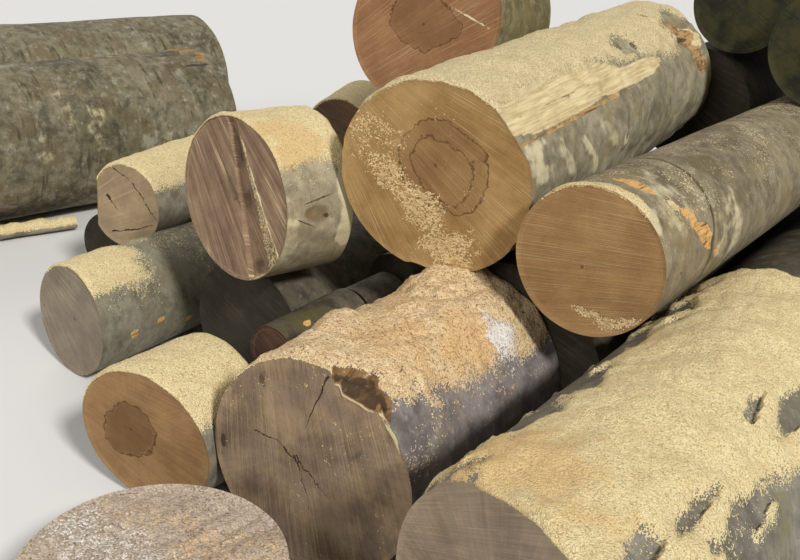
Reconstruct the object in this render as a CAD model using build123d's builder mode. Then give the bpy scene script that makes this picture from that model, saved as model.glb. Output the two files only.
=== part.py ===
"""A heap of sawn beech logs, each log its own solid.

Millimetres, +Z up, floor at z = 0, origin at the middle of the heap's bounding box.
Most logs lie side by side with one lie direction. A log's place in plan is given along that
direction (from the near side of the heap to the far side) and across it (to the right).
Logs on the floor keep their place or slide up to a neighbour. Every other log is lowered
onto the heap until it touches, so a change of one size moves what lies on it or beside it.
"""

from build123d import *
from dataclasses import dataclass, field
import os

import numpy as np

# The lie direction of the heap, in degrees from +Y towards +X.
LIE = 36.0

# Two logs that touch keep this much air, so that no solids overlap.
TOUCH = 0.3

# Air between the two large logs at the front, which lie apart.
FRONT_GAP = 87.0

# Points that stand for a log's skin while it is being placed.
SKIN_STATION = 20.0
SKIN_AROUND = 360

# Logs whose axes pass each other wider than this past their radii aren't tested for touch.
FAR_ENOUGH = 60.0

# A log starts this far above the heap before it is lowered, and is lowered in this many steps.
LIFT = 100.0
LOWER_STEPS = 16

# How much thinner a stem gets along its length, as a share of the length.
TAPER = 0.011

# Diameters at the near end and lengths of the logs that show.
ROUND_LENGTH = 250.0
TRUNK_LENGTH = 2000.0
CENTRE_DIAMETER = 528.0
CENTRE_LENGTH = 1470.0
RIGHT_DIAMETER = 384.0
FRONT_DIAMETER = 548.0
FRONT_LENGTH = 710.0
FRONT_RIGHT_DIAMETER = 622.0
FRONT_RIGHT_LENGTH = 1250.0
FRONT_LEFT_DIAMETER = 396.0
STANDING_DIAMETER = 548.0
LEFT_ROUND_DIAMETER = 472.0
TOP_ROUND_DIAMETER = 528.0
TOP_ROUND_LENGTH = 500.0
FAR_LEFT_DIAMETER = 308.0
FAR_LEFT_LENGTH = 600.0
MID_LEFT_DIAMETER = 370.0
MID_LEFT_LENGTH = 900.0
BACK_TRUNK_DIAMETER = 712.0
FAR_TRUNK_DIAMETER = 760.0
BRANCH_DIAMETER = 75.0
BRANCH_LENGTH = 700.0
MOSSY_DIAMETER = 400.0
MOSSY_LENGTH = 900.0
UPPER_RIGHT_DIAMETER = 360.0
UPPER_RIGHT_LENGTH = 800.0
DEEP_DIAMETER = 500.0
DEEP_LENGTH = 700.0
BACK_ROUND_DIAMETER = 290.0
BACK_ROUND_LENGTH = 400.0
GAP_NEAR_DIAMETER = 170.0
GAP_NEAR_LENGTH = 330.0
GAP_MIDDLE_DIAMETER = 175.0
GAP_MIDDLE_LENGTH = 180.0
GAP_FAR_DIAMETER = 190.0
GAP_FAR_LENGTH = 600.0

# The logs that the others hide: those on the floor and those of the second row.
BASE_LEFT_DIAMETER = 450.0
BASE_LEFT_LENGTH = 1100.0
BASE_CENTRE_DIAMETER = 596.0
BASE_RIGHT_DIAMETER = 600.0
BASE_FAR_LEFT_DIAMETER = 300.0
BASE_FAR_LEFT_LENGTH = 600.0
SECOND_ROW_DIAMETER = 380.0
SECOND_ROW_LENGTH = 700.0
SECOND_ROW_RIGHT_LENGTH = 1000.0
ROW_END_DIAMETER = 440.0
ROW_END_LENGTH = 900.0

# A scoring cut that runs round the right log.
KERF_FROM_END = 298.0
KERF_WIDTH = 9.0
KERF_DEPTH = 6.0
KERF_LEAN = -10.7

# The recess that a second saw cut left across the face of the left round. Each of its two edges
# is a line at some distance from the middle of the face, turned from upright.
STEP_DEPTH = 14.0
STEP_EDGE = 22.0
STEP_EDGE_TURN = 13.6
STEP_FAR_EDGE = 115.0
STEP_FAR_EDGE_TURN = 28.8

# The strip where bark and wood are shaved off the right side of the centre log.
SHAVED_DEPTH = 7.0
SHAVED_LENGTH = 980.0
SHAVED_TURN = 33.0

# The flat side where the far left log split, measured from its middle.
SPLIT_FROM_MIDDLE = 124.0

# The wedge that tore out of the upper rim of the front log.
NOTCH_WIDTH = 70.0
NOTCH_DEPTH = 40.0
NOTCH_LENGTH = 60.0
NOTCH_TURN = 66.0


def direction(heading, tilt=0.0):
    """Unit vector of a heading in degrees from +Y towards +X, raised by a tilt."""
    turn, rise = np.radians(heading), np.radians(tilt)
    flat = np.cos(rise)
    return np.array([np.sin(turn) * flat, np.cos(turn) * flat, np.sin(rise)])


ALONG = direction(LIE)
ACROSS = direction(LIE + 90.0)


@dataclass
class Log:
    """One log: a round, slightly tapered stem between two sawn ends."""

    name: str
    near: float
    length: float
    along: float
    across: float
    turn: float = 0.0
    tilt: float = 0.0
    near_cut: tuple = (0.0, 0.0)
    far_cut: tuple = (0.0, 0.0)
    upright: bool = False
    bed: str = ""
    slides: tuple = ()
    place: np.ndarray = field(default=None, repr=False)

    def __post_init__(self):
        self.place = self.along * ALONG + self.across * ACROSS

    @property
    def axis(self):
        """Unit vector from the near end to the far end."""
        if self.upright:
            return np.array([0.0, 0.0, 1.0])
        return direction(LIE + self.turn, self.tilt)

    @property
    def far(self):
        """Diameter at the far end. A standing round is cut from a straight stretch."""
        return self.near if self.upright else self.near - TAPER * self.length

    @property
    def taper(self):
        """Growth of the radius along the axis."""
        return (self.far - self.near) / 2 / self.length

    @property
    def cut_normals(self):
        """Outward normals of the two sawn ends, which the saw left a little out of square."""
        if self.upright:
            return -self.axis, self.axis
        heading = LIE + self.turn
        near = direction(heading + self.near_cut[0], self.tilt + self.near_cut[1])
        far = direction(heading + self.far_cut[0], self.tilt + self.far_cut[1])
        return -near, far

    def side_vectors(self):
        """Two unit vectors square to the axis, the first level."""
        level = np.cross(self.axis, [0.0, 1.0, 0.0] if self.upright else [0.0, 0.0, 1.0])
        level /= np.linalg.norm(level)
        return level, np.cross(level, self.axis)

    def skin(self):
        """Points on the side of the log, rim to rim, as an array of stations and angles."""
        level, up = self.side_vectors()
        angle = np.linspace(0.0, 2 * np.pi, SKIN_AROUND, endpoint=False)[:, None]
        out = np.cos(angle) * level + np.sin(angle) * up
        near_normal, far_normal = self.cut_normals
        radius = self.near / 2
        start = -radius * (out @ near_normal)
        start /= self.axis @ near_normal + self.taper * (out @ near_normal)
        stop = self.length * (self.axis @ far_normal) - radius * (out @ far_normal)
        stop /= self.axis @ far_normal + self.taper * (out @ far_normal)
        share = np.linspace(0.0, 1.0, max(2, int(self.length / SKIN_STATION)))[:, None]
        station = start * (1 - share) + stop * share
        reach = radius + self.taper * station
        return self.place + station[..., None] * self.axis + reach[..., None] * out

    def outside(self, points):
        """How far points lie outside the log, below 0 for a point inside it."""
        rel = points - self.place
        station = rel @ self.axis
        reach = np.linalg.norm(rel - station[..., None] * self.axis, axis=-1)
        side = (reach - self.near / 2 - self.taper * station) / np.hypot(1.0, self.taper)
        near_normal, far_normal = self.cut_normals
        ends = np.maximum(rel @ near_normal, (rel - self.length * self.axis) @ far_normal)
        return np.maximum(side, ends)

    def footprint(self):
        """Points along the axis in plan."""
        span = 0.0 if self.upright else self.length
        share = np.linspace(0.0, 1.0, 30)[:, None]
        return (self.place + share * span * self.axis)[:, :2]


def air_between(one, other):
    """Smallest distance between two logs, below 0 where they would overlap."""
    first = other.outside(one.skin().reshape(-1, 3)).min()
    second = one.outside(other.skin().reshape(-1, 3)).min()
    return min(first, second)


def may_touch(one, other):
    """Whether two logs come near each other in plan."""
    apart = one.footprint()[:, None] - other.footprint()[None]
    reach = (max(one.near, one.far) + max(other.near, other.far)) / 2
    return np.linalg.norm(apart, axis=-1).min() < reach + FAR_ENOUGH


def last_clear(log, start, stop, is_clear, steps=20):
    """Moves a log from a clear place towards a blocked one, up to the last clear place."""
    for _ in range(steps):
        middle = (start + stop) / 2
        log.place = middle
        if is_clear():
            start = middle
        else:
            stop = middle
    log.place = start


def slide(log, other, way, air=TOUCH, reach=600.0):
    """Slides a log over the floor until it is as near to its neighbour as air says."""
    home = log.place

    def is_clear():
        return air_between(log, other) >= air

    last_clear(log, home - reach * way, home + reach * way, is_clear)


def set_on_floor(log):
    """Puts the lowest point of a log on the floor."""
    log.place = log.place * [1.0, 1.0, 0.0]
    log.place[2] -= log.skin()[..., 2].min()


def lower(log, placed):
    """Lowers a log from above until it touches the floor or a placed log."""
    set_on_floor(log)
    best = log.place
    for other in placed:
        if not may_touch(log, other):
            continue
        rise = max(0.0, other.skin()[..., 2].max() - log.skin()[..., 2].min())
        rise += log.length * abs(log.axis[2])
        floor = best * [1.0, 1.0, 0.0]
        heights = np.linspace(best[2] + rise, best[2], LOWER_STEPS)
        clear = best + [0.0, 0.0, rise + LIFT]
        for height in heights:
            log.place = floor + [0.0, 0.0, height]
            if air_between(log, other) < TOUCH:
                last_clear(log, clear, log.place, lambda: air_between(log, other) >= TOUCH)
                best = log.place
                break
            clear = log.place
        log.place = best


def lean(log, placed, rounds=3):
    """Lays a log on its bed and slides it along the bed until it leans on its neighbour."""
    for _ in range(rounds):
        lower(log, [placed[log.bed]])
        for neighbour, way, air in log.slides:
            slide(log, placed[neighbour], way, air)


LEFT, RIGHT, FRONT = -ACROSS, ACROSS, -ALONG

# The logs that lie or stand on the floor: name, diameter, length, and place along and across.
FLOOR_LOGS = [
    Log("front_log", FRONT_DIAMETER, FRONT_LENGTH, 1294.0, -1170.0, near_cut=(-7.0, -2.0)),
    Log("front_right_log", FRONT_RIGHT_DIAMETER, FRONT_RIGHT_LENGTH, 1060.0, -506.0,
        turn=2.0, tilt=1.5, near_cut=(15.0, -2.0), slides=(("front_log", LEFT, FRONT_GAP),)),
    Log("front_left_round", FRONT_LEFT_DIAMETER, ROUND_LENGTH, 1198.0, -1655.0,
        near_cut=(-12.0, 3.0), slides=(("front_log", RIGHT, TOUCH),)),
    Log("standing_round", STANDING_DIAMETER, ROUND_LENGTH, 879.0, -1205.0, upright=True),
    Log("base_log_left", BASE_LEFT_DIAMETER, BASE_LEFT_LENGTH, 1760.0, -1845.0),
    Log("mid_left_log", MID_LEFT_DIAMETER, MID_LEFT_LENGTH, 1484.0, -2364.0,
        turn=-2.0, near_cut=(5.0, -3.0)),
    Log("base_log_far_left", BASE_FAR_LEFT_DIAMETER, BASE_FAR_LEFT_LENGTH, 2010.0, -2848.0,
        turn=-14.0),
    Log("base_log_centre", BASE_CENTRE_DIAMETER, TRUNK_LENGTH, 2020.0, -1100.0,
        slides=(("front_log", FRONT, TOUCH), ("front_right_log", RIGHT, TOUCH))),
    Log("base_log_right", BASE_RIGHT_DIAMETER, TRUNK_LENGTH, 2330.0, -480.0,
        slides=(("front_right_log", FRONT, TOUCH), ("base_log_centre", LEFT, TOUCH))),
    Log("deep_log", DEEP_DIAMETER, DEEP_LENGTH, 2800.0, -2170.0,
        turn=-4.0, slides=(("base_log_left", FRONT, TOUCH),)),
    Log("back_trunk", BACK_TRUNK_DIAMETER, TRUNK_LENGTH, 1196.0, -4001.0, turn=11.0),
    Log("far_trunk", FAR_TRUNK_DIAMETER, TRUNK_LENGTH, 1750.0, -4750.0,
        turn=9.0, slides=(("back_trunk", RIGHT, TOUCH),)),
    Log("branch", BRANCH_DIAMETER, BRANCH_LENGTH, 1591.0, -3421.0,
        turn=19.0, slides=(("back_trunk", LEFT, TOUCH),)),
]

# The logs that lie on others, from the lowest up.
RAISED_LOGS = [
    Log("gap_log_near", GAP_NEAR_DIAMETER, GAP_NEAR_LENGTH, 1560.0, -1545.0, turn=-2.0),
    Log("gap_log_middle", GAP_MIDDLE_DIAMETER, GAP_MIDDLE_LENGTH, 1900.0, -1550.0),
    Log("gap_log_far", GAP_FAR_DIAMETER, GAP_FAR_LENGTH, 2100.0, -1550.0, turn=-2.0),
    Log("right_log", RIGHT_DIAMETER, TRUNK_LENGTH, 1882.0, -822.0,
        turn=2.0, tilt=0.5, near_cut=(-6.0, -1.0)),
    Log("centre_log", CENTRE_DIAMETER, CENTRE_LENGTH, 1857.0, -1261.0,
        turn=-3.0, tilt=3.4, near_cut=(-10.0, 3.0)),
    Log("far_left_log", FAR_LEFT_DIAMETER, FAR_LEFT_LENGTH, 1922.0, -2643.0,
        turn=-14.0, near_cut=(0.0, -5.0), bed="base_log_far_left",
        slides=(("mid_left_log", RIGHT, TOUCH),)),
    Log("second_row_log", SECOND_ROW_DIAMETER, SECOND_ROW_LENGTH, 2500.0, -1800.0),
    Log("left_round", LEFT_ROUND_DIAMETER, ROUND_LENGTH, 1675.0, -1820.0,
        turn=18.0, near_cut=(-11.0, -2.0), bed="base_log_left",
        slides=(("centre_log", RIGHT, TOUCH),)),
    Log("back_round", BACK_ROUND_DIAMETER, BACK_ROUND_LENGTH, 2830.0, -2415.0, turn=-24.0),
    Log("top_round", TOP_ROUND_DIAMETER, TOP_ROUND_LENGTH, 2509.0, -1782.0,
        turn=-9.0, tilt=-3.0, near_cut=(-3.0, -14.0)),
    Log("row_end_log", ROW_END_DIAMETER, ROW_END_LENGTH, 3420.0, -1170.0),
    Log("second_row_right_log", SECOND_ROW_DIAMETER, SECOND_ROW_RIGHT_LENGTH, 2950.0, -395.0),
    Log("mossy_log", MOSSY_DIAMETER, MOSSY_LENGTH, 3200.0, -678.0),
    Log("upper_right_log", UPPER_RIGHT_DIAMETER, UPPER_RIGHT_LENGTH, 3400.0, -1046.0),
]


def arrange():
    """Gives every log its place, floor logs first, and returns them by name."""
    placed = {}
    for log in FLOOR_LOGS:
        set_on_floor(log)
        for neighbour, way, air in log.slides:
            slide(log, placed[neighbour], way, air)
        placed[log.name] = log
    for log in RAISED_LOGS:
        if log.bed:
            lean(log, placed)
        else:
            lower(log, list(placed.values()))
        placed[log.name] = log
    return placed


def centre(placed):
    """Moves the whole heap so that the middle of its bounding box in plan is the origin."""
    points = np.concatenate([log.skin().reshape(-1, 3) for log in placed.values()])
    middle = (points.min(axis=0) + points.max(axis=0)) / 2
    for log in placed.values():
        log.place = log.place - [middle[0], middle[1], 0.0]


logs = arrange()
centre(logs)


# Planes of one log.
def half_plane(log):
    """Plane through the axis, with x pointing out to the side and y along the axis."""
    level, up = log.side_vectors()
    return Plane(origin=tuple(log.place), x_dir=tuple(level), z_dir=tuple(up))


def end_plane(log, turn=0.0, station=0.0):
    """Plane square to the axis as seen from the near end: x to the right, y up, turned."""
    level, up = log.side_vectors()
    angle = np.radians(turn)
    right = np.cos(angle) * level + np.sin(angle) * up
    origin = log.place + station * log.axis
    return Plane(origin=tuple(origin), x_dir=tuple(right), z_dir=tuple(-log.axis))


def stem_of(log):
    """The plain log: a cone turned about its axis, sawn off at both ends."""
    spare = log.near / 2
    near_radius = log.near / 2 - spare * log.taper
    far_radius = log.far / 2 + spare * log.taper
    near_normal, far_normal = log.cut_normals
    near_saw = Plane(origin=tuple(log.place), z_dir=tuple(near_normal))
    far_saw = Plane(origin=tuple(log.place + log.length * log.axis), z_dir=tuple(far_normal))
    with BuildPart() as stem:
        with BuildSketch(half_plane(log)):
            with BuildLine():
                Polyline(
                    (0.0, -spare),
                    (near_radius, -spare),
                    (far_radius, log.length + spare),
                    (0.0, log.length + spare),
                    close=True,
                )
            make_face()
        revolve(axis=Axis(tuple(log.place), tuple(log.axis)))
        split(bisect_by=near_saw, keep=Keep.BOTTOM)
        split(bisect_by=far_saw, keep=Keep.BOTTOM)
    return stem


def save(piece, name):
    """Labels a finished log and writes it."""
    piece.part.label = name
    export_step(piece.part, f"parts/{name}.step")


os.makedirs("parts", exist_ok=True)

# The logs that are plain stems between two saw cuts.
CUT_LOGS = ("right_log", "left_round", "centre_log", "far_left_log", "front_log")
for plain_name in logs:
    if plain_name not in CUT_LOGS:
        save(stem_of(logs[plain_name]), plain_name)

# The right log, with a shallow saw cut round it that leans a little.
right_log = logs["right_log"]
kerf_level, kerf_up = right_log.side_vectors()
kerf_lean = np.radians(KERF_LEAN)
kerf_axis = np.cos(kerf_lean) * right_log.axis + np.sin(kerf_lean) * kerf_up
kerf_up = np.cross(kerf_level, kerf_axis)
kerf_middle = right_log.place + KERF_FROM_END * right_log.axis
kerf_floor = right_log.near / 2 + right_log.taper * KERF_FROM_END - KERF_DEPTH
with BuildPart() as right_piece:
    add(stem_of(right_log).part)
    with BuildSketch(
        Plane(origin=tuple(kerf_middle), x_dir=tuple(kerf_level), z_dir=tuple(kerf_up))
    ):
        with Locations((kerf_floor + right_log.near / 4, 0.0)):
            Rectangle(right_log.near / 2, KERF_WIDTH)
    revolve(axis=Axis(tuple(kerf_middle), tuple(kerf_axis)), mode=Mode.SUBTRACT)
save(right_piece, "right_log")

# The left round, with a recess across its near face between two edges that meet above it.
left_round = logs["left_round"]
edge_turns = np.radians([STEP_EDGE_TURN, STEP_FAR_EDGE_TURN])
edge_out = np.stack([np.cos(edge_turns), np.sin(edge_turns)], axis=1)
edge_down = np.stack([np.sin(edge_turns), -np.cos(edge_turns)], axis=1)
edge_gaps = np.array([STEP_EDGE, STEP_FAR_EDGE])
apex = np.linalg.solve(edge_out, edge_gaps)
feet = edge_gaps[:, None] * edge_out + left_round.near * edge_down
with BuildPart() as left_piece:
    add(stem_of(left_round).part)
    step_plane = Plane(
        origin=tuple(left_round.place),
        x_dir=tuple(left_round.side_vectors()[0]),
        z_dir=tuple(left_round.cut_normals[0]),
    )
    with BuildSketch(step_plane):
        with BuildLine():
            Polyline(tuple(apex), tuple(feet[0]), tuple(feet[1]), close=True)
        make_face()
    extrude(amount=STEP_DEPTH, both=True, mode=Mode.SUBTRACT)
save(left_piece, "left_round")

# The centre log, with a strip shaved flat along its right side.
centre_log = logs["centre_log"]
shaved_radius = centre_log.near / 2 - SHAVED_DEPTH
with BuildPart() as centre_piece:
    add(stem_of(centre_log).part)
    with BuildSketch(end_plane(centre_log, SHAVED_TURN)):
        with Locations((shaved_radius + SHAVED_DEPTH * 2, 0.0)):
            Rectangle(SHAVED_DEPTH * 4, centre_log.near / 2)
    extrude(amount=-SHAVED_LENGTH, mode=Mode.SUBTRACT)
save(centre_piece, "centre_log")

# The far left log, split flat along its left side.
far_left_log = logs["far_left_log"]
with BuildPart() as far_left_piece:
    add(stem_of(far_left_log).part)
    split_level = far_left_log.side_vectors()[0]
    split(
        bisect_by=Plane(
            origin=tuple(far_left_log.place - SPLIT_FROM_MIDDLE * split_level),
            z_dir=tuple(split_level),
        ),
        keep=Keep.TOP,
    )
save(far_left_piece, "far_left_log")

# The front log, with a wedge torn out of its upper rim.
front_log = logs["front_log"]
with BuildPart() as front_piece:
    add(stem_of(front_log).part)
    with BuildSketch(end_plane(front_log, NOTCH_TURN, -front_log.near / 4)):
        with BuildLine():
            Polyline(
                (front_log.near / 2 - NOTCH_DEPTH, 0.0),
                (front_log.near / 2 + NOTCH_DEPTH, -NOTCH_WIDTH),
                (front_log.near / 2 + NOTCH_DEPTH, NOTCH_WIDTH),
                close=True,
            )
        make_face()
    extrude(amount=-NOTCH_LENGTH - front_log.near / 4, mode=Mode.SUBTRACT)
save(front_piece, "front_log")
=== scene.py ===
"""A heap of beech logs: bark, sawn ends and the sawdust that lies on them.

Every log is one closed skin, worked out on a grid of turns and stations around its axis and
on rings across its two sawn ends. The skin is lifted where sawdust lies and sunk where wood is
torn, and it carries point attributes that tell the finishes where each of these is.
Metres, +Z up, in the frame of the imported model. Colours are written as they look on screen.
"""

import logging
import math
from dataclasses import dataclass, field
from enum import Enum
from typing import Any, Optional, Union

import bpy
import numpy as np
from mathutils import Matrix, Vector


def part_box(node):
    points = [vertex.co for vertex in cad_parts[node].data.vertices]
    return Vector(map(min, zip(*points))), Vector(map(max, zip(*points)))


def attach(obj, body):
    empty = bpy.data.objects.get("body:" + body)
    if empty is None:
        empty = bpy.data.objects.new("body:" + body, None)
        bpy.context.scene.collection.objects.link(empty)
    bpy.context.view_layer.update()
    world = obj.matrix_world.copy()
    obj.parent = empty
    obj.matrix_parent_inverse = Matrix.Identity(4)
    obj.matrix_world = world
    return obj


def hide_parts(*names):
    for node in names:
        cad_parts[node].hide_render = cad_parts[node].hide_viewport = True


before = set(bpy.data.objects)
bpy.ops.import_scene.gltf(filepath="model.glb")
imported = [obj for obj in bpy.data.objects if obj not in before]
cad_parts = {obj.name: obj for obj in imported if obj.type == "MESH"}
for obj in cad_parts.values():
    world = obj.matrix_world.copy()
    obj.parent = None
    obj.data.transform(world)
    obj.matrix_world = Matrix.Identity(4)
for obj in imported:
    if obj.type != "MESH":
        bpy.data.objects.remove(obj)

log = logging.getLogger("heap")
logging.basicConfig(level=logging.INFO, format="%(message)s")

BODY = "root"

# The lie direction of the heap in degrees from +Y towards +X, and how stems thin out.
LIE = 36.0
TAPER = 0.011

# Height of the saw ridges on a plain end, and depths of the relief that the finishes draw on
# bark and on sawn ends, in metres.
PLAIN_RIDGES = 0.0006
BARK_RELIEF = 0.0028
END_RELIEF = 0.002

# How much a surface shines, and the edges that stay sharp, in degrees.
GLOSS = 0.25
SHARP_ANGLE = 55.0

# The coordinates that the finishes read: round and along on a side, x and y on an end.
COORDINATES = "surface"

# The cell of a skin that hardly shows, in metres, the points round a rim when a log is fitted
# to its node, and the fewest turns, rows and rings of a skin.
COARSE_CELL = 0.020
RIM_SAMPLES = 1440
LEAST_AROUND = 24
LEAST_ROWS = 6
LEAST_RINGS = 5
LEAST_FAR_RINGS = 4

# The camera stands at eye height. Its place in plan is set from the round that stands at the
# front, and its lens from a frame 800 wide on a 36 mm sensor.
EYE_HEIGHT = 1.508
EYE_FROM_ROUND = (0.4582, -1.4194)
PITCH_DOWN = 23.37
ROLL = 3.16
LENS = 41.04
SENSOR = 36.0

Colour = tuple[float, float, float]
Pair = tuple[float, float]


def linear(channel: float) -> float:
    """The linear value that nodes take, of a channel as it looks on screen, 0 to 255."""
    part = channel / 255.0
    return part / 12.92 if part <= 0.04045 else ((part + 0.055) / 1.055) ** 2.4


def ease(share: np.ndarray) -> np.ndarray:
    """Eases a share from 0 to 1 by 3t^2 - 2t^3."""
    return share * share * (3.0 - 2.0 * share)


def smooth(values: np.ndarray, low: float, high: float) -> np.ndarray:
    """Eases from 0 at low to 1 at high."""
    return ease(np.clip((values - low) / (high - low), 0.0, 1.0))


def turns_from(turns: np.ndarray, middle: float) -> np.ndarray:
    """Turns as they are seen from a middle one, from -180 to 180 degrees."""
    return np.mod(turns - middle + 180.0, 360.0) - 180.0


# Odd factors, shifts and masks that mix the bits of a cell into a random number.
CELL_FACTORS = (73856093, 19349663, 83492791)
SEED_FACTOR = 2654435
SEED_START = 1013
MIX_ROUNDS = ((15, 2246822519), (13, 3266489917))
LAST_SHIFT = 16
WORD = 0xFFFFFFFF
HALF_WORD = 0xFFFF


def lattice(cell: np.ndarray, seed: int) -> np.ndarray:
    """A fixed random number from 0 to 1 for each whole-numbered cell, by mixing its bits.

    Args:
        cell: Whole numbers, the last axis holding x, y and z.
        seed: Tells one noise from another.

    Returns:
        One number for each cell.
    """
    x, y, z = (cell[..., axis] * factor for axis, factor in enumerate(CELL_FACTORS))
    mixed = (x ^ y ^ z ^ (seed * SEED_FACTOR + SEED_START)) & WORD
    for shift, factor in MIX_ROUNDS:
        mixed = ((mixed ^ (mixed >> shift)) * factor) & WORD
    return ((mixed ^ (mixed >> LAST_SHIFT)) & HALF_WORD) / HALF_WORD


def noise(points: np.ndarray, size: float, seed: int) -> np.ndarray:
    """Value noise from -1 to 1: random corners of a cubic lattice, eased between them.

    Args:
        points: Places, the last axis holding x, y and z.
        size: Side of a cell of the lattice.
        seed: Tells one noise from another.

    Returns:
        One number for each place.
    """
    spot = points / size
    base = np.floor(spot).astype(np.int64)
    part = ease(spot - base)
    total = np.zeros(points.shape[:-1])
    for corner in np.ndindex(2, 2, 2):
        weight = np.prod(np.where(np.array(corner) == 1, part, 1.0 - part), axis=-1)
        total += weight * lattice(base + np.array(corner), seed)
    return total * 2.0 - 1.0


# What each octave adds to the seed of a noise.
OCTAVE_SEED = 31


def fractal(points: np.ndarray, size: float, octaves: int, seed: int) -> np.ndarray:
    """Noise summed over octaves, each of half the size and half the height of the last.

    Args:
        points: Places, the last axis holding x, y and z.
        size: Size of the first octave.
        octaves: How many there are.
        seed: Tells one noise from another.

    Returns:
        One number from -1 to 1 for each place.
    """
    total = np.zeros(points.shape[:-1])
    height = 1.0
    whole = 0.0
    for octave in range(octaves):
        total += height * noise(points, size / 2.0**octave, seed + OCTAVE_SEED * octave)
        whole += height
        height *= 0.5
    return total / whole


def heading_vector(heading: float, tilt: float) -> np.ndarray:
    """Unit vector of a heading, raised by a tilt.

    Args:
        heading: Degrees from +Y towards +X.
        tilt: Degrees up from level.

    Returns:
        The vector (sin h cos t, cos h cos t, sin t).
    """
    turn, rise = math.radians(heading), math.radians(tilt)
    flat = math.cos(rise)
    return np.array([math.sin(turn) * flat, math.cos(turn) * flat, math.sin(rise)])


class Field:
    """A number that changes over a surface: a shader socket with the operators of maths."""

    def __init__(self, paint: "Paint", socket: bpy.types.NodeSocket) -> None:
        """Wraps a socket of a paint's node tree."""
        self.paint = paint
        self.socket = socket

    def __add__(self, other: "Number") -> "Field":
        """Sum."""
        return self.paint.math("ADD", self, other)

    __radd__ = __add__

    def __sub__(self, other: "Number") -> "Field":
        """Difference."""
        return self.paint.math("SUBTRACT", self, other)

    def __rsub__(self, other: "Number") -> "Field":
        """Difference from a number."""
        return self.paint.math("SUBTRACT", other, self)

    def __mul__(self, other: "Number") -> "Field":
        """Product."""
        return self.paint.math("MULTIPLY", self, other)

    __rmul__ = __mul__

    def __truediv__(self, other: "Number") -> "Field":
        """Quotient."""
        return self.paint.math("DIVIDE", self, other)

    def __pow__(self, other: "Number") -> "Field":
        """Power."""
        return self.paint.math("POWER", self, other)

    def __abs__(self) -> "Field":
        """Size without its sign."""
        return self.paint.math("ABSOLUTE", self)

    def either(self, other: "Number") -> "Field":
        """The larger of two."""
        return self.paint.math("MAXIMUM", self, other)

    def ramp(self, low: float, high: float) -> "Field":
        """Eases from 0 at low to 1 at high."""
        made = self.paint.node(
            "ShaderNodeMapRange",
            {"interpolation_type": "SMOOTHSTEP"},
            {"Value": self, "From Min": low, "From Max": high},
        )
        return Field(self.paint, made.outputs["Result"])


Number = Union[Field, float]
Hue = Union[Colour, bpy.types.NodeSocket]


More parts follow.
